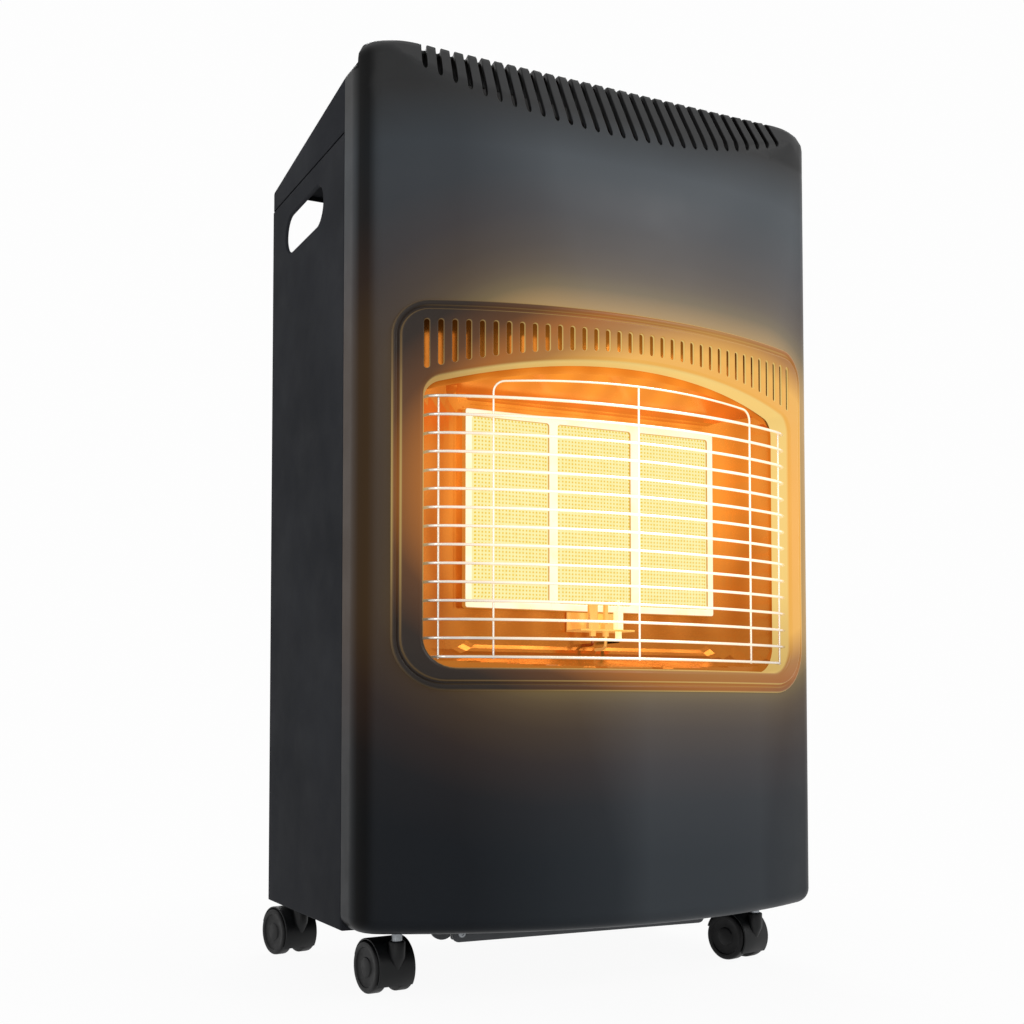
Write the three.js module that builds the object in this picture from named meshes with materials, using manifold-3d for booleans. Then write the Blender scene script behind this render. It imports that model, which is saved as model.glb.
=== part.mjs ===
// Portable gas cabinet heater with a three-plaque radiant burner.
// Millimetres, +Z up. The front faces -Y and x = 0 is the plane of symmetry.
// Every part is written with y = 0 at the seam between the front panel and the side panels;
// the exported group is then moved so that the footprint is centred on the origin.
import * as THREE from 'three';
import { mergeVertices } from 'three/addons/utils/BufferGeometryUtils.js';
import Module from 'manifold-3d';

const wasm = await Module();
wasm.setup();

// ---- Driving dimensions -------------------------------------------------------------------------
const sheet = 1.2;               // thickness of the cabinet's steel sheet
const gap = 0.3;                 // clearance kept between two touching pieces
const seam = 0.4;                // visible seam between two cabinet panels

const bodyWidth = 420;
const sideDepth = 192.5;         // from the front seam to the rear edge of a side panel
const bodyBottom = 51;           // height of the side panels' lower edge over the floor
const sideTop = 665;             // height of the seam under the top cover's skirt
const coverFrontTop = 710.5;     // height of the top cover at the front seam
const coverRearTop = 684.5;      // height of the top cover at its rear edge
const coverEdgeRadius = 5;
const coverRearBevel = 6;
const coverRearLip = 2;          // height of the cover's rear lip over the reach into the bottle bay
const coverRearPost = 14;        // width of the cover's rear wall left at each side
const sideFlange = 13;           // width of the side panels' inward flanges
const bottleSeatHalf = 115;      // the raised seat that the bottle stands on
const bottleSeatFront = 36;
const bottleSeatRear = 240;
const bottleSeatRise = 1.2;
const bottleSeatRadius = 24;

const panelApex = 90;            // how far the bowed front panel stands in front of the seam
const bowRadius = 417;           // plan radius of the bowed front
const cornerRadius = 28;         // plan radius where the bow turns into the sides
const panelBottom = 51.8;
const panelBottomRadius = 12;
const panelLip = 20;             // width of the front panel's inward bottom lip
const bandStartZ = 636;          // where the inclined slotted band leaves the bow at x = 0
const bandRise = 1.8;            // rise of that band per unit of depth
const crownTop = 727.6;
const crownRollRadius = 9;
const crownBackY = -25;          // rear edge of the raised crown
const crownCornerRadius = 16;

const topSlotCount = 29;
const topSlotReach = 164;        // x of the outermost top slot
const topSlotWidth = 5.6;
const topSlotLowZ = 670;         // lower end of the middle top slot
const topSlotEndRise = 33;       // how much higher the outermost slots end
const topSlotBackY = -31;
const topSlotFan = 0.04;         // how much the slots lean to the centre, as a share of x

const bezelHalfWidth = 191;
const bezelBottom = 232;
const bezelTop = 524;
const bezelTopRadius = 27;
const bezelBottomRadius = 39;
const bezelProud = 4;            // how far the bezel stands in front of the panel
const bezelWall = 1.8;
const bezelCollarDepth = 14;     // how far the opening's collar reaches behind the panel
const windowMargin = 12;         // the panel's window is this much smaller than the bezel
const openingHalfWidth = 168;
const openingBottom = 249;
const openingArchTop = 485;
const openingArchRadius = 670;
const openingBottomRadius = 23;
const openingTopRadius = 14;
const bezelSlotCount = 35;
const bezelSlotReach = 166;
const bezelSlotWidth = 7;
const bezelSlotTop = 510.5;
const bezelSlotRise = 6;         // gap between the opening's arch and the slots

const wireRadius = 1.4;
const wireSides = 5;
const guardWireCount = 15;
const guardLowZ = 257;
const guardPitch = 13.9;
const guardInset = 1.1;          // how far the wires' faces lie behind the bezel's face
const guardTurnInset = 14;       // how far inside the opening the horizontal wires turn back
const guardEndY = -44;
const guardLegInset = 51;        // how far inside the opening the hoop's legs stand
const guardArchRise = 17;        // the leg hoop's crown over the top wire
const guardArchSag = 4;          // how much lower the hoop's crown ends at its bends
const guardHoopBend = 9;
const guardSideOffset = 2;       // the outer uprights stand this far outside the turn
const guardWeld = 0.5;           // how deep crossing wires are welded into each other

const plaqueWidth = 73;
const plaqueHeight = 150;
const plaqueDepth = 12;
const plaquePitch = 76.4;
const plaqueBottom = 301;
const plaqueFaceY = -18;
const plaqueEmboss = 1.2;        // raised field of a plaque
const plaqueEmbossMargin = 5;
const frameLip = 2.5;            // how far the burner frame overlaps the plaques
const frameBorder = 6;
const frameFront = 2.2;          // thickness of the frame's front face
const burnerDepth = 19.5;        // depth of the mixing boxes behind the plaques
const burnerWall = 1.5;
const venturiRadius = 8.5;
const venturiBell = 11;
const venturiLength = 42;
const injectorLength = 10;
const injectorRadius = 4.5;
const manifoldRadius = 6;
const manifoldStart = -92;
const manifoldEnd = 150;

const dishBackY = -14;           // plane of the reflector's back plate
const dishInset = 46;            // the back plate's half width is this much under the opening's
const dishTop = 463;
const dishBottom = 262;
const dishSideSlope = 1.9;       // outward run per unit of depth
const dishTopSlope = 0.36;
const dishBottomSlope = 0.18;
const reflectorSheet = 1;
const leadSlotHalf = 20;         // half the width of the slot that lets the pilot's leads through

const chassisY = 20;             // front face of the upright chassis panel behind the burner
const chassisTop = 612;
const chassisFlange = 12;

const rearHalfWidth = 190;
const rearBulge = 59;            // how far the rear cover stands behind the side panels
const rearTop = 560;
const rearBevelDepth = 36;
const rearBevelHeight = 42;
const rearCornerRadius = 30;
const rearFlange = 10;
const ventRows = 8;
const ventPitch = 16;
const ventWidth = 110;
const ventHeight = 5;
const ventCentreX = 85;

const handleCentreY = 103;
const handleCentreZ = 628.5;
const handleLength = 100;
const handleHeight = 32;

const trayX = 112;               // centre of the control tray in the top cover
const trayY = 98;
const trayWidth = 150;
const trayDepth = 84;
const trayCorner = 8;
const trayFloor = 682;           // upper face of the tray's floor
const trayWall = 2;
const trayFlange = 7;
const knobX = 82;
const knobRadius = 21;
const knobHeight = 20;
const knobTravel = 4;
const spindleRadius = 4;
const spindleDepth = 30;         // how deep the spindle reaches into the valve
const igniterX = 152;
const igniterRadius = 12.5;
const igniterLength = 34;
const igniterTravel = 6;
const buttonRadius = 10;
const buttonStem = 7;
const valveSize = 36;
const valveHeight = 48;

const pilotY = -32;              // pilot burner, thermocouple and electrode stand on this line
const pilotX = -9;
const thermocoupleX = 3;
const electrodeX = 15;
const pilotShelfZ = 281;
const pilotShelf = 1.5;
const pilotSeat = 3;
const leadRadius = 1.3;
const leadY = -9.5;              // plane behind the reflector in which the leads run
const leadLowZ = 267;
const leadLowPitch = 3.2;        // spacing of the leads where they run sideways
const leadPitch = 4.5;           // spacing of the leads elsewhere
const leadUpX = 128;
const leadBend = 8;
const leadOverGap = 12;          // how far over the chassis the highest lead passes
const supplyRadius = 4;
const supplyX = 165;
const supplyTop = 648;
const supplyOutX = 74;
const supplyBend = 16;

const barHalfLength = 118;
const barBottom = 35.5;
const barHeight = 11;
const barThick = 3;
const barScrewX = 110.5;
const barScrewRadius = 3.4;
const lugX = 82;
const lugY = 103;
const lugRadius = 12;
const lugBottom = 20;
const lugThick = 3;
const braceReach = 6;            // how far the brace runs past its lugs
const braceHalfDepth = 10;
const braceThick = 2;

const wheelRadius = 20;
const wheelInner = 7;            // half of the gap between the twin wheels
const wheelOuter = 17;
const casterTrail = 20;
const hoodGap = 0.7;
const hoodWall = 1.6;
const hoodHalfWidth = 15.5;
const hoodWeb = 5.5;
const bossRadius = 6.4;
const stemRadius = 4;
const axleRadius = 2;
const collarRadius = 10;
const frontKingpinInset = 43;    // how far inside the cabinet's sides the front stems stand
const frontKingpinY = -6.6;
const rearKingpinInset = 30;
const rearKingpinSetback = 0.1;  // how far they stand in front of the side panels' rear edge
// How far each caster has swivelled from pointing straight back, in degrees.
const casterHeading = { front_left: 7.1, front_right: 14.1, rear_left: 12.2, rear_right: 9.4 };

// ---- Values worked out from them ----------------------------------------------------------------
const halfWidth = bodyWidth / 2;
const insideX = halfWidth - sheet;
const guardTurnX = openingHalfWidth - guardTurnInset;
const guardLegX = openingHalfWidth - guardLegInset;
const dishHalfWidth = openingHalfWidth - dishInset;
const bowCentreY = bowRadius - panelApex;
const cornerX = halfWidth - cornerRadius;
const bowJoin = Math.asin(cornerX / (bowRadius - cornerRadius));
const cornerY = bowCentreY - (bowRadius - cornerRadius) * Math.cos(bowJoin);
const coverSlope = (coverFrontTop - coverRearTop) / sideDepth;
const panBottom = panelBottom + sheet + gap;
const panThick = 2;
const panFlange = 15;
const panTop = panBottom + panThick;
const rearFace = sideDepth + rearBulge;
const frontFace = -panelApex - bezelProud;
const plaqueTop = plaqueBottom + plaqueHeight;
const frameHalfWidth = plaquePitch + plaqueWidth / 2 + frameBorder - frameLip;
const frameBottom = plaqueBottom - frameBorder + frameLip;
const frameTop = plaqueTop + frameBorder - frameLip;
const burnerFrontY = plaqueFaceY + plaqueDepth + gap;
const venturiY = burnerFrontY + burnerDepth / 2;
const venturiBottom = plaqueBottom - venturiLength;
const manifoldZ = venturiBottom - injectorLength - manifoldRadius + 2;
const valveTop = trayFloor - trayWall - gap;
const valveLow = valveTop - valveHeight;
// Where each lead goes after it has risen to the chassis top: thermocouple, pilot pipe, ignition lead.
const leadEnds = [
  [[leadUpX + 2 * leadPitch, trayY, chassisTop + leadOverGap],
    [leadUpX + 2 * leadPitch, trayY, valveLow + 12],
    [knobX + valveSize / 2 + gap, trayY, valveLow + 12]],
  [[leadUpX + leadPitch, 52, chassisTop + leadOverGap - leadPitch],
    [knobX + 10, 52, chassisTop + leadOverGap - leadPitch], [knobX + 10, 52, valveLow + 10],
    [knobX + 10, trayY - valveSize / 2 - gap, valveLow + 10]],
  [[leadUpX, trayY, chassisTop + leadOverGap - 2 * leadPitch],
    [igniterX, trayY, chassisTop + leadOverGap - 2 * leadPitch],
    [igniterX, trayY, valveTop - igniterLength - gap]],
];

// ---- Materials ----------------------------------------------------------------------------------
function finish(color, roughness, metalness) {
  return new THREE.MeshStandardMaterial({ color, roughness, metalness });
}
const blackPaint = () => finish(0x2a2c2f, 0.45, 0.3);
const darkSteel = () => finish(0x35373a, 0.5, 0.6);
const blackPlastic = () => finish(0x1b1c1e, 0.5, 0.0);
const greyPlastic = () => finish(0x2e3033, 0.45, 0.0);
const zincSteel = () => finish(0xa9adb0, 0.4, 0.9);
const polishedSteel = () => finish(0xd8d4cc, 0.18, 1.0);
const chromeWire = () => finish(0xe4e4e2, 0.15, 1.0);
const ceramic = () => finish(0xf1e3c4, 0.9, 0.0);
const brass = () => finish(0xc39a4a, 0.3, 0.9);
const castAluminium = () => finish(0xb5b7b9, 0.45, 0.8);
const copper = () => finish(0xb87548, 0.35, 0.9);

// ---- Geometry helpers ---------------------------------------------------------------------------
function solid(geometry) {
  const bare = geometry.index ? geometry.toNonIndexed() : geometry;
  bare.deleteAttribute('normal');
  bare.deleteAttribute('uv');
  const merged = mergeVertices(bare, 1e-4);
  return new wasm.Manifold(new wasm.Mesh({
    numProp: 3,
    vertProperties: new Float32Array(merged.attributes.position.array),
    triVerts: new Uint32Array(merged.index.array),
  }));
}

function toGeometry(manifold) {
  const mesh = manifold.getMesh();
  const geometry = new THREE.BufferGeometry();
  geometry.setAttribute('position', new THREE.BufferAttribute(mesh.vertProperties, 3));
  geometry.setIndex(new THREE.BufferAttribute(mesh.triVerts, 1));
  geometry.computeVertexNormals();
  return geometry;
}

function joined(parts) {
  return parts.reduce((whole, part) => whole.add(part));
}

function cut(body, tools) {
  return tools.reduce((rest, tool) => rest.subtract(tool), body);
}

function box(x0, x1, y0, y1, z0, z1) {
  const geometry = new THREE.BoxGeometry(x1 - x0, y1 - y0, z1 - z0);
  geometry.translate((x0 + x1) / 2, (y0 + y1) / 2, (z0 + z1) / 2);
  return solid(geometry);
}

function arcPoints(cx, cy, radius, from, to, steps) {
  const points = [];
  for (let i = 0; i <= steps; i++) {
    const angle = from + (to - from) * i / steps;
    points.push(new THREE.Vector2(cx + radius * Math.cos(angle), cy + radius * Math.sin(angle)));
  }
  return points;
}

// An outline through [x, y, radius] corners, each rounded by its radius.
function roundedOutline(corners, steps = 4) {
  const points = [];
  const count = corners.length;
  corners.forEach(([x, y, radius], i) => {
    const here = new THREE.Vector2(x, y);
    if (!radius) {
      points.push(here);
      return;
    }
    const before = corners[(i + count - 1) % count];
    const after = corners[(i + 1) % count];
    const toBefore = new THREE.Vector2(before[0], before[1]).sub(here).normalize();
    const toAfter = new THREE.Vector2(after[0], after[1]).sub(here).normalize();
    const half = Math.acos(toBefore.dot(toAfter)) / 2;
    const middle = toBefore.clone().add(toAfter).normalize();
    const centre = here.clone().addScaledVector(middle, radius / Math.sin(half));
    const start = here.clone().addScaledVector(toBefore, radius / Math.tan(half)).sub(centre);
    const end = here.clone().addScaledVector(toAfter, radius / Math.tan(half)).sub(centre);
    const turn = Math.atan2(start.cross(end), start.dot(end));
    points.push(...arcPoints(centre.x, centre.y, radius, start.angle(), start.angle() + turn, steps));
  });
  return points;
}

function rectangle(x0, y0, x1, y1, radius = 0, steps = 4) {
  return roundedOutline([[x0, y0, radius], [x1, y0, radius], [x1, y1, radius], [x0, y1, radius]], steps);
}

// A racetrack-shaped outline from one end centre to the other.
function racetrack(ax, ay, bx, by, width, steps = 2) {
  const along = Math.atan2(by - ay, bx - ax);
  const quarter = Math.PI / 2;
  return [
    ...arcPoints(bx, by, width / 2, along - quarter, along + quarter, steps),
    ...arcPoints(ax, ay, width / 2, along + quarter, along + 3 * quarter, steps),
  ];
}

// Extrudes an outline along one axis: its points are (x, y) for z, (y, z) for x and (x, z) for y.
function prism(points, axis, from, to) {
  const shape = new THREE.Shape(points);
  const geometry = new THREE.ExtrudeGeometry(shape, { depth: to - from, bevelEnabled: false });
  const turn = new THREE.Matrix4();
  if (axis === 'x') turn.set(0, 0, 1, from, 1, 0, 0, 0, 0, 1, 0, 0, 0, 0, 0, 1);
  if (axis === 'y') turn.set(1, 0, 0, 0, 0, 0, -1, to, 0, 1, 0, 0, 0, 0, 0, 1);
  if (axis === 'z') turn.makeTranslation(0, 0, from);
  return solid(geometry.applyMatrix4(turn));
}

// Turns an outline of (radius, height) points round the z axis.
function turned(profile, sides = 20) {
  const points = profile.map(([radius, height]) => new THREE.Vector2(radius, height));
  return solid(new THREE.LatheGeometry(points, sides).rotateX(Math.PI / 2));
}

function rod(radius, from, to, sides = 16) {
  return turned([[0, from], [radius, from], [radius, to], [0, to]], sides);
}

function moved(manifold, x, y, z) {
  return manifold.translate([x, y, z]);
}

// A polyline whose corners are rounded, sampled only where it bends.
class BentPath extends THREE.Curve {
  constructor(points) {
    super();
    this.points = points;
  }

  getPoint(t) {
    const at = t * (this.points.length - 1);
    const i = Math.min(Math.floor(at), this.points.length - 2);
    return this.points[i].clone().lerp(this.points[i + 1], at - i);
  }

  getPointAt(t) {
    return this.getPoint(t);
  }

  getTangentAt(t) {
    const last = this.points.length - 1;
    const i = Math.round(t * last);
    const before = this.points[Math.max(i - 1, 0)];
    const after = this.points[Math.min(i + 1, last)];
    const here = this.points[i];
    const arriving = here.clone().sub(i === 0 ? here.clone().multiplyScalar(2).sub(after) : before);
    const leaving = (i === last ? here.clone().multiplyScalar(2).sub(before) : after).clone().sub(here);
    return arriving.normalize().add(leaving.normalize()).normalize();
  }

  getSpacedPoints() {
    return this.points.map((point) => point.clone());
  }
}

function bentTube(corners, bend, radius, sides = 8, steps = 4) {
  const nodes = corners.map((corner) => new THREE.Vector3(...corner));
  const points = [nodes[0]];
  for (let i = 1; i < nodes.length - 1; i++) {
    const back = nodes[i - 1].clone().sub(nodes[i]);
    const on = nodes[i + 1].clone().sub(nodes[i]);
    const reach = Math.min(bend, back.length() / 2, on.length() / 2);
    const start = nodes[i].clone().addScaledVector(back.normalize(), reach);
    const end = nodes[i].clone().addScaledVector(on.normalize(), reach);
    points.push(...new THREE.QuadraticBezierCurve3(start, nodes[i], end).getPoints(steps));
  }
  points.push(nodes.at(-1));
  return tubeThrough(points, radius, sides);
}

function tubeThrough(points, radius, sides = 8) {
  const section = new THREE.Shape(arcPoints(0, 0, radius, 0, 2 * Math.PI * (1 - 1 / sides), sides - 1));
  const extrudePath = new BentPath(points);
  return solid(new THREE.ExtrudeGeometry(section, { steps: points.length - 1, extrudePath }));
}

// The solid between two outlines with as many points each: [points, z] rows from the bottom up.
function lofted(rows) {
  const count = rows[0][0].length;
  const positions = rows.flatMap(([points, z]) => points.flatMap((point) => [point.x, point.y, z]));
  const faces = [];
  for (let row = 0; row < rows.length - 1; row++) {
    for (let i = 0; i < count; i++) {
      const next = (i + 1) % count;
      const a = row * count + i;
      const b = row * count + next;
      faces.push(a, b, b + count, a, b + count, a + count);
    }
  }
  const caps = THREE.ShapeUtils.triangulateShape(rows[0][0], []);
  const top = (rows.length - 1) * count;
  caps.forEach(([a, b, c]) => faces.push(a, c, b, top + a, top + b, top + c));
  const geometry = new THREE.BufferGeometry();
  geometry.setAttribute('position', new THREE.Float32BufferAttribute(positions, 3));
  geometry.setIndex(faces);
  return solid(geometry);
}

const heater = new THREE.Group();

function place(name, manifold, material, parent = heater) {
  const mesh = new THREE.Mesh(toGeometry(manifold), material);
  mesh.name = name;
  parent.add(mesh);
  return mesh;
}

// ---- The bowed plan of the front ----------------------------------------------------------------
function bowArc(outset, steps) {
  const down = 1.5 * Math.PI;
  return arcPoints(0, bowCentreY, bowRadius + outset, down - bowJoin, down + bowJoin, steps);
}

// The plan outline of the front panel, moved inwards, closed straight at backY.
function planOutline(inset, backY) {
  const half = halfWidth - inset;
  const down = 1.5 * Math.PI;
  const radius = cornerRadius - inset;
  return [
    new THREE.Vector2(-half, backY),
    ...arcPoints(-cornerX, cornerY, radius, Math.PI, down - bowJoin, 5),
    ...bowArc(-inset, 16).slice(1, -1),
    ...arcPoints(cornerX, cornerY, radius, down + bowJoin, 2 * Math.PI, 5),
    new THREE.Vector2(half, backY),
  ];
}

// The layer between two offsets of the bow, from z0 to z1.
function bowLayer(inner, outer, z0, z1) {
  const outline = [...bowArc(outer, 24), ...bowArc(inner, 24).reverse()];
  return prism(outline, 'z', z0, z1);
}

// ---- Front panel --------------------------------------------------------------------------------
function bandY(z) {
  return -panelApex + (z - bandStartZ) / bandRise;
}

// Side view of the crown: the inclined band, its roll and the step down to the top cover.
function crownProfile(inset, backY) {
  const far = panelApex * 2;
  const shift = inset * Math.hypot(1, bandRise) / bandRise;
  const bandAt = (y) => bandStartZ + (y - shift + panelApex) * bandRise;
  const top = crownTop - inset;
  const cornerAtTop = -panelApex + shift + (top - bandStartZ) / bandRise;
  return roundedOutline([
    [backY, 0, 0],
    [-far, 0, 0],
    [-far, bandAt(-far), 0],
    [cornerAtTop, top, crownRollRadius - inset],
    [crownBackY - inset, top, 0],
    [crownBackY - inset, coverFrontTop - inset, 0],
    [backY, coverFrontTop - inset, 0],
  ].reverse(), 4).reverse();
}

function crownCorners(inset) {
  const half = halfWidth - inset;
  const radius = crownCornerRadius - inset;
  return roundedOutline([
    [-half, 0, 0], [half, 0, 0], [half, crownTop - inset, radius], [-half, crownTop - inset, radius],
  ]);
}

function frontBody(inset, backY) {
  const rows = [];
  const steps = 3;
  for (let i = 0; i <= steps; i++) {
    const angle = i / steps * Math.PI / 2;
    const rounding = panelBottomRadius * (1 - Math.sin(angle));
    const z = panelBottom + inset + (panelBottomRadius - inset) * (1 - Math.cos(angle));
    rows.push([planOutline(inset + rounding * (1 - inset / panelBottomRadius), backY), z]);
  }
  rows.push([planOutline(inset, backY), crownTop + inset]);
  return lofted(rows)
    .intersect(prism(crownProfile(inset, backY), 'x', -halfWidth, halfWidth))
    .intersect(prism(crownCorners(inset), 'y', -2 * panelApex, backY));
}

function topSlots() {
  const slots = [];
  for (let i = 0; i < topSlotCount; i++) {
    const share = 2 * i / (topSlotCount - 1) - 1;
    const x = share * topSlotReach;
    const lowY = bandY(topSlotLowZ + topSlotEndRise * share * share);
    const outline = racetrack(x, lowY, x * (1 - topSlotFan), topSlotBackY, topSlotWidth);
    slots.push(prism(outline, 'z', topSlotLowZ - 10, crownTop + 5));
  }
  return slots;
}

function bezelOutline(inset) {
  const half = bezelHalfWidth - inset;
  const low = bezelBottomRadius - inset;
  const high = bezelTopRadius - inset;
  return roundedOutline([
    [-half, bezelBottom + inset, low], [half, bezelBottom + inset, low],
    [half, bezelTop - inset, high], [-half, bezelTop - inset, high],
  ], 5);
}

function archZ(x) {
  return openingArchTop - openingArchRadius + Math.sqrt(openingArchRadius ** 2 - x * x);
}

function openingOutline(outset) {
  const half = openingHalfWidth + outset;
  const low = openingBottomRadius + outset;
  const high = openingTopRadius + outset;
  const corners = [[-half, openingBottom - outset, low], [half, openingBottom - outset, low]];
  const steps = 10;
  for (let i = 0; i <= steps; i++) {
    const x = half * (1 - 2 * i / steps);
    corners.push([x, archZ(x) + outset, i === 0 || i === steps ? high : 0]);
  }
  return roundedOutline(corners);
}

function makeFrontPanel() {
  const bottomOpening = prism(planOutline(panelLip, sideDepth), 'z', 0, panelBottom + panelLip / 2);
  const window = prism(bezelOutline(windowMargin), 'y', -2 * panelApex, crownBackY);
  const shell = frontBody(0, 0).subtract(frontBody(sheet, sheet));
  place('front_panel', cut(shell, [bottomOpening, window, ...topSlots()]), blackPaint());
}

// ---- Bezel and wire guard -----------------------------------------------------------------------
function bezelSlots() {
  const slots = [];
  for (let i = 0; i < bezelSlotCount; i++) {
    const x = bezelSlotReach * (2 * i / (bezelSlotCount - 1) - 1);
    const end = bezelSlotWidth / 2;
    const low = archZ(x) + bezelSlotRise + end;
    slots.push(prism(racetrack(x, low, x, bezelSlotTop - end, bezelSlotWidth), 'y', frontFace - 5, 0));
  }
  return slots;
}

function makeBezel() {
  const low = bezelBottom - 1;
  const high = bezelTop + 1;
  const reach = -2 * panelApex;
  const block = prism(bezelOutline(0), 'y', reach, 0).intersect(bowLayer(gap, bezelProud, low, high));
  const pocket = prism(bezelOutline(bezelWall), 'y', reach, 0)
    .intersect(bowLayer(0, bezelProud - bezelWall, low, high));
  const collar = prism(openingOutline(bezelWall), 'y', reach, 0)
    .intersect(bowLayer(-bezelCollarDepth, bezelProud - bezelWall / 2, low, high));
  const opening = prism(openingOutline(0), 'y', reach, 0);
  const body = block.subtract(pocket).add(collar).subtract(opening);
  place('bezel', cut(body, bezelSlots()), darkSteel());
}

function guardY(x) {
  const radius = bowRadius + bezelProud - guardInset - wireRadius;
  return bowCentreY - Math.sqrt(radius * radius - x * x);
}

// Half of the opening's clear width at a height, in its rounded lower corners too.
function openingHalfAt(z) {
  const below = Math.max(openingBottom + openingBottomRadius - z, 0);
  return openingHalfWidth - openingBottomRadius + Math.sqrt(openingBottomRadius ** 2 - below ** 2);
}

function guardWire(z) {
  const points = [];
  const steps = 8;
  const back = guardEndY - guardY(guardTurnX);
  const endX = openingHalfAt(z - wireRadius) - wireRadius - 2 * gap;
  for (let i = 0; i <= steps; i++) {
    const x = guardTurnX * (2 * i / steps - 1);
    points.push(new THREE.Vector3(x, guardY(x), z));
  }
  const turn = [[0.75, 0.35], [1, 1]];
  turn.forEach(([across, along]) => {
    const x = guardTurnX + (endX - guardTurnX) * across;
    const y = guardY(guardTurnX) + back * along;
    points.push(new THREE.Vector3(x, y, z));
    points.unshift(new THREE.Vector3(-x, y, z));
  });
  return tubeThrough(points, wireRadius, wireSides);
}

function guardUpright(x, z0, z1, behind) {
  const y = guardY(x) + behind;
  return tubeThrough([new THREE.Vector3(x, y, z0), new THREE.Vector3(x, y, z1)], wireRadius, wireSides);
}

function makeGuard() {
  const wires = [];
  const topWire = guardLowZ + (guardWireCount - 1) * guardPitch;
  for (let i = 0; i < guardWireCount; i++) wires.push(guardWire(guardLowZ + i * guardPitch));
  const behind = 2 * wireRadius - guardWeld;
  const hoopTop = topWire + guardArchRise;
  const hoop = [new THREE.Vector3(-guardLegX, guardY(guardLegX) + behind, guardLowZ)];
  const bendX = guardLegX - guardHoopBend;
  const bendZ = hoopTop - guardHoopBend - guardArchSag;
  const bend = arcPoints(-bendX, bendZ, guardHoopBend, Math.PI, Math.PI / 2, 3);
  bend.forEach((point) => hoop.push(new THREE.Vector3(point.x, guardY(point.x) + behind, point.y)));
  const steps = 8;
  for (let i = 1; i < steps; i++) {
    const share = 2 * i / steps - 1;
    const x = share * bendX;
    hoop.push(new THREE.Vector3(x, guardY(x) + behind, hoopTop - guardArchSag * share * share));
  }
  bend.reverse().forEach((point) => {
    hoop.push(new THREE.Vector3(-point.x, guardY(point.x) + behind, point.y));
  });
  hoop.push(new THREE.Vector3(guardLegX, guardY(guardLegX) + behind, guardLowZ));
  wires.push(tubeThrough(hoop, wireRadius, wireSides));
  wires.push(guardUpright(0, guardLowZ, hoopTop - wireRadius, behind));
  for (const side of [-1, 1]) {
    const x = side * (guardTurnX + guardSideOffset);
    wires.push(guardUpright(x, guardLowZ, topWire, behind));
  }
  place('wire_guard', joined(wires), chromeWire());
}

// ---- Side panels, top cover, chassis, base and rear cover ---------------------------------------
function makeSidePanel(name, side) {
  const top = sideTop - seam;
  const inner = insideX - sideFlange;
  const wall = box(insideX, halfWidth, seam, sideDepth, bodyBottom, top);
  const flanges = [
    box(inner, halfWidth, seam, seam + sheet, bodyBottom, top),
    box(inner, halfWidth, sideDepth - sheet, sideDepth, bodyBottom, top),
    box(inner, halfWidth, seam, sideDepth, bodyBottom, bodyBottom + sheet),
    box(inner, halfWidth, seam, sideDepth, top - sheet, top),
  ];
  const reach = (handleLength - handleHeight) / 2;
  const ends = [handleCentreY - reach, handleCentreZ, handleCentreY + reach, handleCentreZ];
  const handle = prism(racetrack(...ends, handleHeight, 8), 'x', insideX - 1, halfWidth + 1);
  const panel = joined([wall, ...flanges]).subtract(handle);
  place(name, side < 0 ? panel.mirror([1, 0, 0]) : panel, blackPaint());
}

function coverSection(inset) {
  const half = halfWidth - inset;
  const radius = coverEdgeRadius - inset;
  return roundedOutline([
    [-half, sideTop - 30, 0], [half, sideTop - 30, 0],
    [half, coverFrontTop - inset, radius], [-half, coverFrontTop - inset, radius],
  ], 3);
}

function underCover(inset, z0) {
  const shear = new THREE.Matrix4().set(1, 0, 0, 0, 0, 1, 0, 0, 0, -coverSlope, 1, 0, 0, 0, 0, 1);
  const from = inset ? -20 : seam;
  const shape = new THREE.Shape(coverSection(inset));
  const depth = sideDepth - inset - from;
  const geometry = new THREE.ExtrudeGeometry(shape, { depth, bevelEnabled: false });
  const stand = new THREE.Matrix4().set(1, 0, 0, 0, 0, 0, -1, sideDepth - inset, 0, 1, 0, 0, 0, 0, 0, 1);
  const bevel = coverRearBevel + inset * 0.6;
  const rear = sideDepth + 1;
  const high = coverRearTop + 1;
  const bevelTool = prism([
    new THREE.Vector2(rear - bevel - 1, high), new THREE.Vector2(rear, high - bevel - 1),
    new THREE.Vector2(rear, high + 20), new THREE.Vector2(rear - bevel - 1, high + 20),
  ], 'x', -halfWidth - 1, halfWidth + 1);
  const below = box(-halfWidth - 1, halfWidth + 1, -30, rear, 0, z0);
  return cut(solid(geometry.applyMatrix4(stand).applyMatrix4(shear)), [bevelTool, below]);
}

function trayOutline(inset) {
  const halfX = trayWidth / 2 - inset;
  const halfY = trayDepth / 2 - inset;
  return rectangle(trayX - halfX, trayY - halfY, trayX + halfX, trayY + halfY, trayCorner - inset);
}

function makeTopCover() {
  const shell = underCover(0, sideTop).subtract(underCover(sheet, sideTop - 1));
  const hole = prism(trayOutline(0), 'z', sideTop, crownTop);
  const reachX = halfWidth - coverRearPost;
  const reachTop = coverRearTop - sheet - coverRearLip;
  const reach = box(-reachX, reachX, sideDepth - coverRearBevel, sideDepth + 1, sideTop - 1, reachTop);
  place('top_cover', cut(shell, [hole, reach]), blackPaint());
}

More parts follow.
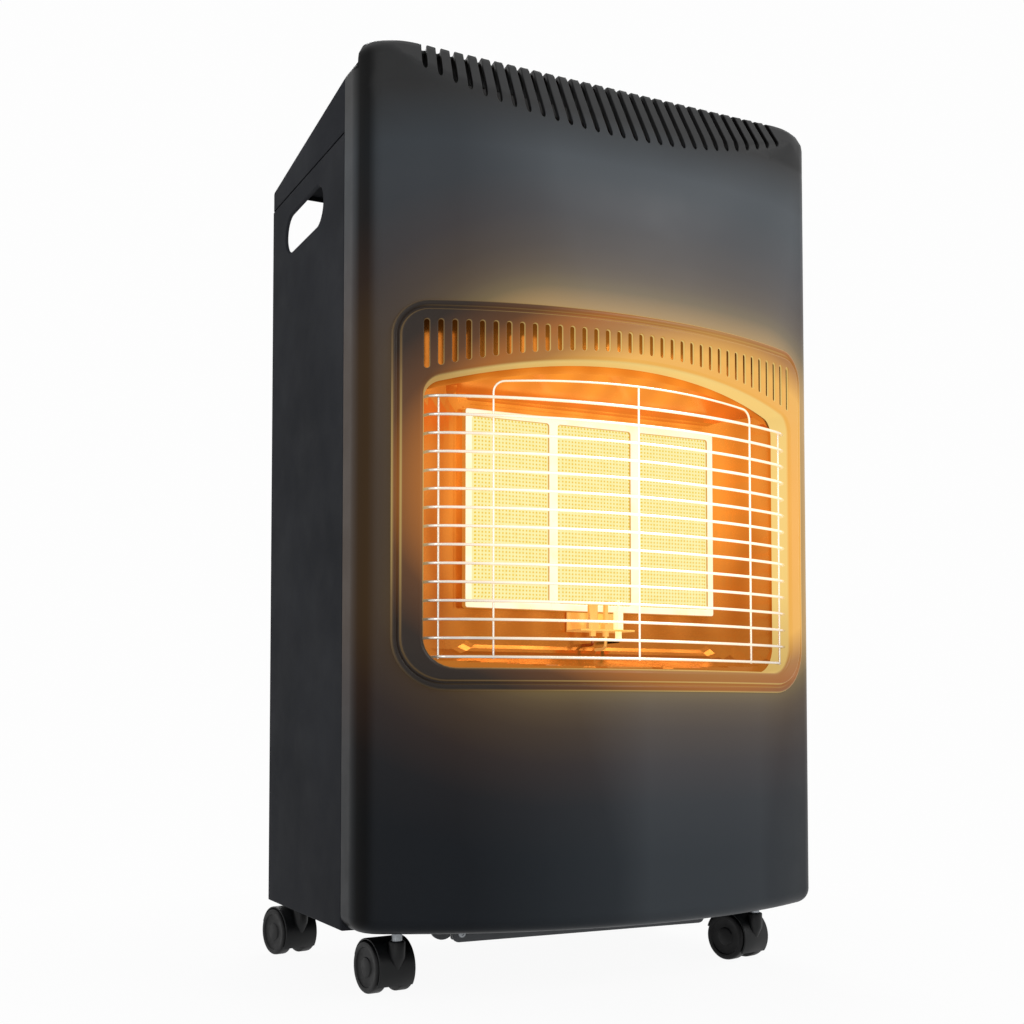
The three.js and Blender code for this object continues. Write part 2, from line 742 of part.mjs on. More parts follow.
function makeControlTray() {
  const low = trayFloor - trayWall;
  const wall = prism(trayOutline(gap), 'z', low, crownTop);
  const flange = prism(trayOutline(-trayFlange), 'z', trayFloor - trayFlange, crownTop)
    .subtract(underCover(sheet + gap + trayWall, 0));
  const bowl = prism(trayOutline(gap + trayWall), 'z', trayFloor, crownTop);
  const limit = underCover(sheet + gap, 0);
  const raised = wall.intersect(underCover(0, 0));
  const spindleHole = moved(rod(spindleRadius + 2, low - 1, trayFloor + 1), knobX, trayY, 0);
  const igniterHole = moved(rod(igniterRadius - 2.5, low - 1, trayFloor + 1), igniterX, trayY, 0);
  const body = flange.intersect(limit).add(raised);
  place('control_tray', cut(body, [bowl, spindleHole, igniterHole]), blackPlastic());
}

function makeChassis() {
  const half = insideX - gap;
  const back = chassisY + sheet;
  const top = box(-half, half, chassisY, chassisY + chassisFlange, chassisTop - sheet, chassisTop);
  const foot = box(-half, half, chassisY, chassisY + chassisFlange, panTop + gap, panTop + gap + sheet);
  const web = box(-half, half, chassisY, back, panTop + gap, chassisTop);
  const notchX = half - sheet - gap;
  const notchTop = panTop + panFlange + gap;
  const notches = [-1, 1].map((side) => {
    const notch = box(notchX, half + 1, chassisY - 1, chassisY + chassisFlange + 1, 0, notchTop);
    return side < 0 ? notch.mirror([1, 0, 0]) : notch;
  });
  place('chassis_panel', cut(joined([web, top, foot]), notches), zincSteel());
}

function rearOutline(inset, frontY) {
  const half = rearHalfWidth - inset;
  const radius = rearCornerRadius - inset;
  return roundedOutline([
    [-half, frontY, 0], [half, frontY, 0],
    [half, rearFace - inset, radius], [-half, rearFace - inset, radius],
  ], 5);
}

function makeBasePan() {
  const sideHalf = insideX - gap;
  const front = prism(planOutline(panelBottomRadius + gap, seam - gap), 'z', panBottom, panTop)
    .intersect(box(-halfWidth, halfWidth, -panelApex / 2, sideDepth, 0, crownTop));
  const rearEdge = sideDepth - sheet - gap;
  const main = box(-sideHalf, sideHalf, seam + sheet + gap, rearEdge, panBottom, panTop);
  const tail = prism(rearOutline(0, rearEdge - 5), 'z', panBottom, panTop);
  const flangeTop = panTop + panFlange;
  const flanges = [-1, 1].map((side) => {
    const flange = box(sideHalf - sheet, sideHalf, seam + sheet + gap, rearEdge, panBottom, flangeTop);
    return side < 0 ? flange.mirror([1, 0, 0]) : flange;
  });
  const inner = insideX - sideFlange - gap;
  const neck = box(-inner, inner, -panelBottomRadius, rearEdge, panBottom, panTop);
  const seat = prism(
    rectangle(-bottleSeatHalf, bottleSeatFront, bottleSeatHalf, bottleSeatRear, bottleSeatRadius),
    'z', panBottom, panTop + bottleSeatRise,
  );
  const holes = casterPlaces().map(({ x, y }) => moved(rod(stemRadius + gap, 0, crownTop), x, y, 0));
  place('base_pan', cut(joined([neck, front, main, tail, seat, ...flanges]), holes), darkSteel());
}

function ventSlots() {
  const slots = [];
  for (const side of [-1, 1]) {
    for (let row = 0; row < ventRows; row++) {
      for (const z of [120 + row * ventPitch, 380 + row * ventPitch]) {
        const x = side * ventCentreX;
        slots.push(box(x - ventWidth / 2, x + ventWidth / 2, rearFace - 5, rearFace + 5, z, z + ventHeight));
      }
    }
  }
  return slots;
}

function makeRearCover() {
  const frontY = sideDepth + gap;
  const low = panTop + gap;
  const sideView = (inset) => prism([
    new THREE.Vector2(frontY - 10, low - 1),
    new THREE.Vector2(rearFace - inset, low - 1),
    new THREE.Vector2(rearFace - inset, rearTop - rearBevelHeight - inset / 2),
    new THREE.Vector2(rearFace - rearBevelDepth - inset / 2, rearTop - inset),
    new THREE.Vector2(frontY - 10, rearTop - inset),
  ], 'x', -halfWidth, halfWidth);
  const outer = prism(rearOutline(0, frontY), 'z', low, rearTop).intersect(sideView(0));
  const inner = prism(rearOutline(sheet, frontY - 5), 'z', low - 5, rearTop).intersect(sideView(sheet));
  const wide = rearHalfWidth + rearFlange;
  const flange = box(-wide, wide, frontY, frontY + sheet, low + rearFlange, rearTop);
  const passage = prism(rearOutline(sheet, frontY - 5), 'z', low - 5, rearTop - sheet);
  const body = outer.add(flange).subtract(inner).subtract(passage.intersect(sideView(sheet)));
  place('rear_cover', cut(body, ventSlots()), blackPaint());
}

// ---- Burner -------------------------------------------------------------------------------------
const plaqueNames = ['left', 'centre', 'right'];

function plaqueX(index) {
  return (index - 1) * plaquePitch;
}

function makePlaque(index) {
  const x = plaqueX(index);
  const half = plaqueWidth / 2;
  const margin = plaqueEmbossMargin;
  const back = plaqueFaceY + plaqueDepth;
  const slab = box(x - half, x + half, plaqueFaceY, back, plaqueBottom, plaqueTop);
  const field = box(x - half + margin, x + half - margin, plaqueFaceY - plaqueEmboss, back,
    plaqueBottom + margin, plaqueTop - margin);
  place(`ceramic_plaque_${plaqueNames[index]}`, slab.add(field), ceramic());
}

function makeBurnerFrame() {
  const front = plaqueFaceY - gap - frameFront;
  const back = plaqueFaceY + plaqueDepth - 2;
  const body = box(-frameHalfWidth, frameHalfWidth, front, back, frameBottom, frameTop);
  const openings = plaqueNames.flatMap((name, index) => {
    const x = plaqueX(index);
    const half = plaqueWidth / 2;
    const seat = box(x - half - gap, x + half + gap, plaqueFaceY - gap, back + 1,
      plaqueBottom - gap, plaqueTop + gap);
    const sight = box(x - half + frameLip, x + half - frameLip, front - 1, back,
      plaqueBottom + frameLip, plaqueTop - frameLip);
    return [seat, sight];
  });
  place('burner_frame', cut(body, openings), polishedSteel());
}

function makeBurnerBox(index) {
  const x = plaqueX(index);
  const half = plaqueWidth / 2;
  const back = burnerFrontY + burnerDepth;
  const outer = box(x - half, x + half, burnerFrontY, back, plaqueBottom, plaqueTop);
  const inner = box(x - half + burnerWall, x + half - burnerWall, burnerFrontY - 1, back - burnerWall,
    plaqueBottom + burnerWall, plaqueTop - burnerWall);
  const bell = venturiBell;
  const neck = moved(turned([
    [0, venturiBottom], [bell, venturiBottom], [bell, venturiBottom + 3],
    [venturiRadius, venturiBottom + 9], [venturiRadius, plaqueBottom + 0.5], [0, plaqueBottom + 0.5],
  ]), x, venturiY, 0);
  const bore = moved(turned([
    [0, venturiBottom - 1], [bell - burnerWall, venturiBottom - 1],
    [bell - burnerWall, venturiBottom + 3], [venturiRadius - burnerWall, venturiBottom + 9],
    [venturiRadius - burnerWall, plaqueBottom + 5], [0, plaqueBottom + 5],
  ]), x, venturiY, 0);
  const stand = box(x - 18, x + 18, back - 0.5, chassisY - gap, plaqueTop - 50, plaqueTop - 20);
  place(`burner_box_${plaqueNames[index]}`, cut(joined([outer, neck, stand]), [inner, bore]), zincSteel());
}

function makeManifold() {
  const pipe = rod(manifoldRadius, manifoldStart, manifoldEnd).rotate([0, 90, 0]);
  const lug = box(-12, 12, 0, chassisY - gap - venturiY, -4, 4);
  const bosses = plaqueNames.map((name, index) => moved(rod(injectorRadius + 1.5, 0, manifoldRadius + 1, 12),
    plaqueX(index), 0, 0));
  const body = joined([pipe, lug, ...bosses]);
  place('gas_manifold', moved(body, 0, venturiY, manifoldZ), castAluminium());
}

function makeInjector(index) {
  const low = manifoldZ + manifoldRadius + 1 + gap;
  const body = turned([
    [0, low], [injectorRadius, low], [injectorRadius, low + 4], [2.5, low + 5],
    [1.6, venturiBottom + 1], [0, venturiBottom + 1],
  ], 6);
  place(`injector_${plaqueNames[index]}`, moved(body, plaqueX(index), venturiY, 0), brass());
}

// The reflector is a sheet dish: a back plate round the burner frame and four sloping walls.
function dishBody(inset) {
  const depth = panelApex;
  const loop = (y, grow) => {
    const half = dishHalfWidth - inset + grow * dishSideSlope;
    const low = dishBottom + inset - grow * dishBottomSlope;
    const high = dishTop - inset + grow * dishTopSlope;
    const corners = [[-half, low], [half, low], [half, high], [-half, high]];
    return corners.map(([x, z]) => new THREE.Vector3(x, y, z));
  };
  const back = loop(dishBackY - inset, 0);
  const front = loop(dishBackY - depth, depth - inset);
  const flat = (points) => points.map((point) => new THREE.Vector2(point.x, point.z));
  const body = lofted([[flat(back), 0], [flat(front), depth - inset]]);
  return body.rotate([90, 0, 0]).translate([0, dishBackY - inset, 0]);
}

function makeReflector() {
  const shell = dishBody(0).subtract(dishBody(reflectorSheet));
  const outline = [...bowArc(-bezelCollarDepth - gap, 24), new THREE.Vector2(halfWidth, 40),
    new THREE.Vector2(-halfWidth, 40)];
  const behindBezel = prism(outline, 'z', 0, crownTop);
  const hole = box(-frameHalfWidth - gap, frameHalfWidth + gap, -panelApex, 0,
    frameBottom - gap, frameTop + gap);
  const slotLow = leadLowZ - leadRadius - gap;
  const slotHigh = leadLowZ + 2 * leadLowPitch + leadRadius + gap;
  const leadSlot = box(-leadSlotHalf, leadSlotHalf, -panelApex, 0, slotLow, slotHigh);
  place('reflector', cut(shell.intersect(behindBezel), [hole, leadSlot]), polishedSteel());
}

// ---- Pilot assembly and the leads -----------------------------------------------------------------
function makePilot() {
  const back = dishBackY - reflectorSheet - gap;
  const shelf = box(-24, 26, back - 24, back, pilotShelfZ, pilotShelfZ + pilotShelf);
  const flange = box(-24, 26, back - pilotShelf, back, pilotShelfZ, frameBottom - 2 * gap);
  const seats = [pilotX, thermocoupleX, electrodeX].map((x) => {
    return moved(rod(pilotSeat, 0, pilotShelfZ + 5), x, pilotY, 0);
  });
  place('pilot_bracket', cut(shelf.add(flange), seats), zincSteel());
  const over = pilotShelfZ + pilotShelf + gap;
  const burner = turned([
    [0, pilotShelfZ - 4], [pilotSeat - gap, pilotShelfZ - 4], [pilotSeat - gap, over],
    [6, over], [6, over + 5], [4.2, over + 7], [4.2, over + 20], [0, over + 20],
  ], 12);
  const flameSlot = box(-6, 6, -1, 1, over + 12, over + 22);
  place('pilot_burner', moved(burner.subtract(flameSlot), pilotX, pilotY, 0), brass());
  const tip = turned([
    [0, pilotShelfZ - 4], [pilotSeat - gap, pilotShelfZ - 4], [pilotSeat - gap, over],
    [4, over], [4, over + 4], [2.2, over + 6], [2.2, over + 21], [1, over + 23], [0, over + 23],
  ], 10);
  place('thermocouple', moved(tip, thermocoupleX, pilotY, 0).add(leadTube(thermocoupleX, 0)), copper());
  const pin = turned([
    [0, pilotShelfZ - 6], [pilotSeat - gap, pilotShelfZ - 6], [pilotSeat - gap, over],
    [4, over], [4, over + 14], [1.2, over + 16], [1.2, over + 24], [0, over + 24],
  ], 10);
  place('spark_electrode', moved(pin, electrodeX, pilotY, 0), ceramic());
}

// A lead runs down from the pilot shelf, back through the dish, sideways, up and over the chassis.
function leadTube(x, lane) {
  const low = leadLowZ + lane * leadLowPitch;
  const up = leadUpX + (2 - lane) * leadPitch;
  const over = chassisTop + leadOverGap - lane * leadPitch;
  return bentTube([
    [x, pilotY, pilotShelfZ - 3], [x, pilotY, low], [x, leadY, low], [up, leadY, low],
    [up, leadY, over], ...leadEnds[lane],
  ], leadBend, leadRadius, 6, 3);
}

function makeLeads() {
  const start = pilotShelfZ - 4 - gap;
  place('pilot_pipe', leadFrom(pilotX, 1, start), copper());
  place('ignition_lead', leadFrom(electrodeX, 2, pilotShelfZ - 6 - gap), blackPlastic());
}

function leadFrom(x, lane, startZ) {
  const clip = box(x - 6, x + 6, pilotY - 6, pilotY + 6, startZ, pilotShelfZ);
  return leadTube(x, lane).subtract(clip);
}

function makeSupplyPipe() {
  place('supply_pipe', bentTube([
    [manifoldEnd + gap, venturiY, manifoldZ], [supplyX, venturiY, manifoldZ],
    [supplyX, venturiY, supplyTop], [supplyOutX, venturiY, supplyTop],
    [supplyOutX, trayY - valveSize / 2 - gap, supplyTop],
  ], supplyBend, supplyRadius, 10, 4), copper());
}

// ---- Controls -----------------------------------------------------------------------------------
function makeValve() {
  const half = valveSize / 2;
  const low = valveTop - valveHeight;
  const body = box(knobX - half, knobX + half, trayY - half, trayY + half, low, valveTop);
  const bore = moved(rod(spindleRadius + gap, valveTop - spindleDepth, valveTop + 1), knobX, trayY, 0);
  place('gas_valve', body.subtract(bore), castAluminium());
  const nozzle = turned([
    [0, 0], [9, 0], [9, 8], [5.5, 9], [5.5, 15], [6.5, 15], [5, 20], [6.5, 20], [5, 25], [6.5, 25],
    [5, 31], [0, 31],
  ], 12).subtract(rod(3, 4, 32, 10));
  const turnedBack = nozzle.rotate([-90, 0, 0]);
  place('hose_nozzle', moved(turnedBack, knobX, trayY + half + gap, low + valveHeight / 3), brass());
}

function makeKnob() {
  const low = valveTop - spindleDepth + knobTravel + 1;
  const knobLow = trayFloor + knobTravel + 1;
  const spindleTop = knobLow + knobHeight - 6;
  place('valve_spindle', moved(rod(spindleRadius, low, spindleTop), knobX, trayY, 0), brass());
  const cap = turned([
    [0, 0], [knobRadius, 0], [knobRadius, 4], [knobRadius - 2, 8], [knobRadius - 2, 10], [0, 10],
  ], 32);
  const grip = box(-knobRadius + 4, knobRadius - 4, -4.5, 4.5, 9, knobHeight);
  const bore = rod(spindleRadius + gap, -1, spindleTop - knobLow + gap);
  const knob = cap.add(grip.rotate([0, 0, 90])).subtract(bore);
  place('control_knob', moved(knob, knobX, trayY, knobLow), blackPlastic());
}

function makeIgniter() {
  const under = trayFloor - trayWall - gap;
  const neck = igniterRadius - 2.5 - gap;
  const nutTop = trayFloor + gap + 2;
  const bore = buttonStem + gap;
  const low = under - igniterLength;
  const boreLow = nutTop - 4 - igniterTravel - 14;
  const body = turned([
    [0, low], [igniterRadius, low], [igniterRadius, under], [neck, under], [neck, trayFloor + gap],
    [igniterRadius, trayFloor + gap], [igniterRadius, nutTop], [bore, nutTop], [bore, boreLow], [0, boreLow],
  ], 20);
  place('igniter_body', moved(body, igniterX, trayY, 0), blackPlastic());
  const capLow = nutTop + igniterTravel + 0.7;
  const button = turned([
    [0, boreLow + igniterTravel + 1], [buttonStem, boreLow + igniterTravel + 1], [buttonStem, capLow],
    [buttonRadius, capLow], [buttonRadius, capLow + 4], [buttonRadius - 1.5, capLow + 6], [0, capLow + 6],
  ], 20);
  place('igniter_button', moved(button, igniterX, trayY, 0), greyPlastic());
}

// ---- Foot bar and brace under the base ------------------------------------------------------------
function makeFootBar() {
  const top = barBottom + barHeight;
  const ends = [-barHalfLength + barHeight / 2, barBottom + barHeight / 2];
  const outline = racetrack(ends[0], ends[1], -ends[0], ends[1], barHeight, 5);
  const strip = prism(outline, 'y', -barThick / 2, barThick / 2);
  const tabs = [-1, 1].map((side) => {
    const x = side * (barHalfLength - 8);
    return box(x - 8, x + 8, barThick / 2 - 0.1, barThick / 2 + 2.5, barBottom + 2, panBottom - gap);
  });
  place('front_foot_bar', joined([strip, ...tabs]), greyPlastic());
  for (const [name, side] of [['left', -1], ['right', 1]]) {
    const head = turned([[0, 0], [barScrewRadius, 0], [barScrewRadius, 0.8], [2.4, 1.8], [0, 2.1]], 12);
    const screw = head.rotate([90, 0, 0]);
    const height = top - barScrewRadius - 0.6;
    place(`bar_screw_${name}`, moved(screw, side * barScrewX, -barThick / 2 - 0.1, height), zincSteel());
  }
}

function makeBrace() {
  const top = panBottom - gap;
  const half = lugX + lugRadius + braceReach;
  const strip = box(-half, half, lugY - braceHalfDepth, lugY + braceHalfDepth, top - braceThick, top);
  const centre = lugBottom + lugRadius;
  const lugs = [-1, 1].map((side) => {
    const x = side * lugX;
    const outline = [...arcPoints(x, centre, lugRadius, Math.PI, 2 * Math.PI, 10),
      new THREE.Vector2(x + lugRadius, top - braceThick / 2),
      new THREE.Vector2(x - lugRadius, top - braceThick / 2)];
    return prism(outline, 'y', lugY - lugThick / 2, lugY + lugThick / 2);
  });
  place('base_brace', joined([strip, ...lugs]), greyPlastic());
}

// ---- Casters --------------------------------------------------------------------------------------
function casterPlaces() {
  const frontX = halfWidth - frontKingpinInset;
  const rearX = halfWidth - rearKingpinInset;
  const rearY = sideDepth - rearKingpinSetback;
  return [
    { name: 'front_left', x: -frontX, y: frontKingpinY },
    { name: 'front_right', x: frontX, y: frontKingpinY },
    { name: 'rear_left', x: -rearX, y: rearY },
    { name: 'rear_right', x: rearX, y: rearY },
  ];
}

function casterHood() {
  const inner = wheelRadius + hoodGap;
  const outer = inner + hoodWall;
  const from = 0.1 * Math.PI;
  const to = 1.2 * Math.PI;
  const centre = [casterTrail, wheelRadius];
  const fender = prism([
    ...arcPoints(...centre, outer, from, to, 12), ...arcPoints(...centre, inner, from, to, 12).reverse(),
  ], 'x', -hoodHalfWidth, hoodHalfWidth);
  const web = prism([
    ...arcPoints(...centre, inner + 0.5, from, to, 12), new THREE.Vector2(casterTrail, wheelRadius - 7),
  ], 'x', -hoodWeb, hoodWeb);
  const bossTop = wheelRadius + outer - 0.6;
  const boss = turned([[0, 17], [bossRadius, 29], [bossRadius, bossTop], [0, bossTop]], 12);
  const stemBore = rod(stemRadius + gap, 25, wheelRadius * 3, 12);
  const axleBore = moved(rod(axleRadius + gap, -30, 30, 8).rotate([0, 90, 0]), 0, casterTrail, wheelRadius);
  return cut(joined([fender, web, boss]), [stemBore, axleBore]);
}

function casterWheel(side) {
  const hub = axleRadius + gap;
  const face = wheelOuter - 1.2;
  const wheel = turned([
    [hub, wheelInner], [wheelRadius - 1, wheelInner], [wheelRadius, wheelInner + 1],
    [wheelRadius, wheelOuter - 1.6], [wheelRadius - 1.6, wheelOuter], [wheelRadius - 3.5, wheelOuter],
    [wheelRadius - 5, face], [0, face], [0, face - 2], [hub, face - 2], [hub, wheelInner],
  ], 16);
  const outward = moved(wheel.rotate([0, 90, 0]), 0, casterTrail, wheelRadius);
  return side < 0 ? outward.mirror([1, 0, 0]) : outward;
}

function makeCaster({ name, x, y }) {
  const group = new THREE.Group();
  group.position.set(x, y, 0);
  group.rotation.z = THREE.MathUtils.degToRad(casterHeading[name]);
  heater.add(group);
  const stem = turned([
    [0, 25 + gap], [stemRadius, 25 + gap], [stemRadius, panBottom - gap - 1.6],
    [collarRadius, panBottom - gap - 1.6], [collarRadius, panBottom - gap], [stemRadius, panBottom - gap],
    [stemRadius, panTop + 5], [0, panTop + 5],
  ], 12);
  const axleEnd = wheelOuter - 1.2 - 2 - gap;
  const axle = moved(rod(axleRadius, -axleEnd, axleEnd, 8).rotate([0, 90, 0]), 0, casterTrail, wheelRadius);
  place(`${name}_caster_stem`, stem, zincSteel(), group);
  place(`${name}_caster_hood`, casterHood(), greyPlastic(), group);
  place(`${name}_caster_axle`, axle, zincSteel(), group);
  place(`${name}_caster_wheel_a`, casterWheel(-1), blackPlastic(), group);
  place(`${name}_caster_wheel_b`, casterWheel(1), blackPlastic(), group);
}

makeFrontPanel();
makeBezel();
makeGuard();
makeSidePanel('left_side_panel', -1);
makeSidePanel('right_side_panel', 1);
makeTopCover();
makeControlTray();
makeChassis();
makeBasePan();
makeRearCover();
plaqueNames.forEach((name, index) => {
  makePlaque(index);
  makeBurnerBox(index);
  makeInjector(index);
});
makeBurnerFrame();
makeManifold();
makeSupplyPipe();
makeReflector();
makePilot();
makeLeads();
makeValve();
makeKnob();
makeIgniter();
makeFootBar();
makeBrace();
casterPlaces().forEach(makeCaster);

heater.position.y = -(frontFace + rearFace) / 2;
export default heater;
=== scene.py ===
# Portable gas cabinet heater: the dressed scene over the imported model.
# Shapes are written in the CAD's millimetres, with y = 0 at the seam between the front and the side panels.
import math

import bpy
import numpy as np
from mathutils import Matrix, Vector
from mathutils.geometry import delaunay_2d_cdt


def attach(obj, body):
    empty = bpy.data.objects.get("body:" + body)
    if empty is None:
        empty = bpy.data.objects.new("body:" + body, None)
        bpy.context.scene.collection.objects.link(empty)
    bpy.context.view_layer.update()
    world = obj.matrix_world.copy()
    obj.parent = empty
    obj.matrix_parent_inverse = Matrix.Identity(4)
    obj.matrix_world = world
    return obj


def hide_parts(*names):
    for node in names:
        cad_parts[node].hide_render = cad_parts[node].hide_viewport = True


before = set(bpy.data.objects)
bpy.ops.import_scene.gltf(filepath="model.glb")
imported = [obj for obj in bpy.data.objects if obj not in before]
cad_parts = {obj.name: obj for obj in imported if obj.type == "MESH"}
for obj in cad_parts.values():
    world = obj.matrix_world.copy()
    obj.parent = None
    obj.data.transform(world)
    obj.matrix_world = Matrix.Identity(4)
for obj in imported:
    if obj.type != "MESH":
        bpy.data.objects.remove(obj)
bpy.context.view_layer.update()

PI = math.pi
SEAM_Y = -78.75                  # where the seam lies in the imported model
UP, FRONT = Vector((0, 0, 1)), Vector((0, -1, 0))

# ---- Sizes of the object, as the CAD has them
HALF_WIDTH = 210
SIDE_DEPTH = 192.5
SHEET = 1.2
BOW_RADIUS = 417
PANEL_APEX = 90                  # the bow's depth in front of the seam
BOW_CENTRE = BOW_RADIUS - PANEL_APEX
CORNER_RADIUS = 28
CORNER_X = HALF_WIDTH - CORNER_RADIUS
BOW_JOIN = math.asin(CORNER_X / (BOW_RADIUS - CORNER_RADIUS))
CORNER_Y = BOW_CENTRE - (BOW_RADIUS - CORNER_RADIUS) * math.cos(BOW_JOIN)
BOW_LENGTH = BOW_RADIUS * BOW_JOIN
TURN_LENGTH = CORNER_RADIUS * (PI / 2 - BOW_JOIN)
HALF_LENGTH = BOW_LENGTH + TURN_LENGTH - CORNER_Y
PANEL_BOTTOM = 51.8
BOTTOM_ROLL = 12
SIDE_LOW = 51
SIDE_TOP = 664.6
COVER_FRONT_TOP = 710.5
COVER_REAR_TOP = 684.5
COVER_SLOPE = (COVER_FRONT_TOP - COVER_REAR_TOP) / SIDE_DEPTH
COVER_CORNER = 5
COVER_LOW = 665
SKIRT_KNEE = 672                 # the cover's skirt is upright up to this height
CROWN_TOP = 727.6
CROWN_BACK = -25
CROWN_CORNER = 16
PLAIN_BOW_TOP = 600              # up to this height the front is a plain bow
BAND_START = 636
BAND_RISE = 1.8                  # the slotted band's rise for each step back
BAND_SLANT = math.hypot(BAND_RISE, 1)
BAND_SLOTS = 29
BEZEL_HALF, BEZEL_LOW, BEZEL_HIGH = 191, 232, 524
BEZEL_OUTSET = 4
BEZEL_SLOTS = 35
OPENING_HALF, OPENING_LOW, OPENING_CORNER = 168, 249, 23
ARCH_TOP, ARCH_RADIUS = 485, 670
WIRE_RADIUS, WIRE_PITCH, WIRE_LOW, WIRES = 1.4, 13.9, 257, 15
LEVEL_WIRE, THIN_WIRE = 1.15, 0.72        # a level wire's radius as shown, and the uprights' share of it
DISH_BACK, DISH_HALF, DISH_LOW, DISH_HIGH = -14, 122, 262, 463
PLAQUE_PITCH, PLAQUE_HALF, PLAQUE_TALL = 76.4, 35.3, 73.8      # the last two are halves
BURNER_Z = 376                   # the height of the plaques' middles
KNOB_X, BUTTON_X, DIAL_Y = 82, 152, 98
TRAY_X, TRAY_FLOOR = 112, 682
WHEEL_RADIUS = 20
CASTERS = {"front_left": (-167, -6.6, 7.1), "front_right": (167, -6.6, 14.1),
           "rear_left": (-180, 192.4, 12.2), "rear_right": (180, 192.4, 9.4)}   # x, y, heading in degrees


# ---- Building blocks
def place(point):
    """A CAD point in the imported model's metres."""
    return Vector((point[0], point[1] + SEAM_Y, point[2])) / 1000


def shown(name, data):
    obj = bpy.data.objects.new(name, data)
    bpy.context.scene.collection.objects.link(obj)
    return obj


def dressed(name, mesh, body, nodes):
    """A piece that rides on a body and may replace nodes of the CAD."""
    obj = shown(name, mesh)
    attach(obj, body)
    if nodes:
        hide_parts(*nodes)


class Shape:
    """Gathers faces in CAD millimetres; each face may bring the normals of its corners."""

    def __init__(self):
        self.points, self.faces, self.normals = [], [], []

    def add(self, point):
        self.points.append(Vector(point))
        return len(self.points) - 1

    def face(self, corners, normals=None):
        kept = [k for k, corner in enumerate(corners) if corner not in corners[:k]]
        if len(kept) > 2:
            self.faces.append([corners[k] for k in kept])
            self.normals.append([normals[k] for k in kept] if normals else None)

    def grid(self, rows, closed=False, normals=None, flip=False):
        """A net of quads over rows of points, with as many points in each row."""
        base = [[self.add(point) for point in row] for row in rows]
        count = len(rows[0])
        for j in range(len(rows) - 1):
            for i in range(count if closed else count - 1):
                n = (i + 1) % count
                quad = [(j, i), (j, n), (j + 1, n), (j + 1, i)]
                if flip:
                    quad.reverse()
                given = [normals[a][b] for a, b in quad] if normals else None
                self.face([base[a][b] for a, b in quad], given)
        return base

    def merge(self):
        """Joins points that lie together, so that shading runs across them."""
        found, points, moved = {}, [], []
        for point in self.points:
            key = tuple(round(c, 3) for c in point)
            if key not in found:
                found[key] = len(points)
                points.append(point)
            moved.append(found[key])
        faces = [[moved[i] for i in face] for face in self.faces]
        self.faces = [face for face in faces if len(set(face)) == len(face)]
        self.normals = [None] * len(self.faces)
        self.points = points

    def build(self, name, body, material, *nodes, sharp=32):
        mesh = bpy.data.meshes.new(name)
        mesh.from_pydata([place(point) for point in self.points], [], self.faces)
        mesh.materials.append(material)
        mesh.shade_smooth()
        if any(self.normals):
            flat = []
            for polygon, given in zip(mesh.polygons, self.normals):
                flat += given or [polygon.normal.copy()] * polygon.loop_total
            mesh.normals_split_custom_set(flat)
        else:
            mesh.set_sharp_from_angle(angle=math.radians(sharp))
        dressed(name, mesh, body, nodes)


def inside(points, loop):
    """Which of the points lie inside the loop."""
    px, py = points[:, 0], points[:, 1]
    result = np.zeros(len(points), bool)
    ax, ay = loop[-1]
    for bx, by in loop:
        if ay != by:
            crosses = (ay > py) != (by > py)
            result ^= crosses & (px < (bx - ax) * (py - ay) / (by - ay) + ax)
        ax, ay = bx, by
    return result


def counterclockwise(loop):
    area = sum(a[0] * b[1] - b[0] * a[1] for a, b in zip(loop, loop[1:] + loop[:1]))
    return loop if area > 0 else loop[::-1]


def corner_ways(loop):
    """For each corner, its way out between its two edges, and how far that leans from an edge's own."""
    ways = []
    for i, (x, y) in enumerate(loop):
        ax, ay = loop[i - 1]
        bx, by = loop[(i + 1) % len(loop)]
        before = Vector((y - ay, ax - x)).normalized()
        after = Vector((by - y, x - bx)).normalized()
        way = (before + after).normalized()
        ways.append((way, way.dot(before)))
    return ways


def grown(loop, amount):
    """The loop moved outwards by amount."""
    loop = counterclockwise(loop)
    return [(x + way.x * amount / max(0.5, lean), y + way.y * amount / max(0.5, lean))
            for (x, y), (way, lean) in zip(loop, corner_ways(loop))]


def edge_rows(shape, surface, loop, into, profile, ring, mirrored=False):
    """Turns a sheet's edge along profile, (outward, deeper) steps; ring holds the edge's points."""
    ahead = -0.05 if into else 0.05
    frames = []
    for (u, v), (way, lean) in zip(loop, corner_ways(loop)):
        here, normal = surface(u, v)
        out = surface(u + way.x * ahead, v + way.y * ahead)[0] - here
        out = (out - normal * out.dot(normal)).normalized()
        frames.append((here, normal, out, 1 / max(0.6, lean)))
    angles = [math.atan2(b[1] - a[1], b[0] - a[0]) for a, b in zip(profile, profile[1:])]
    before = 0.0
    for (outward, deeper), angle, after in zip(profile[1:], angles, angles[1:] + angles[-1:]):
        start = (before + angle) / 2 if abs(before - angle) < 1 else angle
        end = (angle + after) / 2 if abs(after - angle) < 1 else angle
        current = [shape.add(here + out * (outward * stretch) - normal * deeper)
                   for here, normal, out, stretch in frames]
        for i in range(len(loop)):
            j = (i + 1) % len(loop)
            quad = [(ring, i, start), (current, i, end), (current, j, end), (ring, j, start)]
            if into != mirrored:
                quad.reverse()
            normals = []
            for _, at, turn in quad:
                _, normal, out, _ = frames[at]
                normals.append((out * math.sin(turn) + normal * math.cos(turn)).normalized())
            shape.face([row[at] for row, at, _ in quad], normals)
        ring, before = current, angle


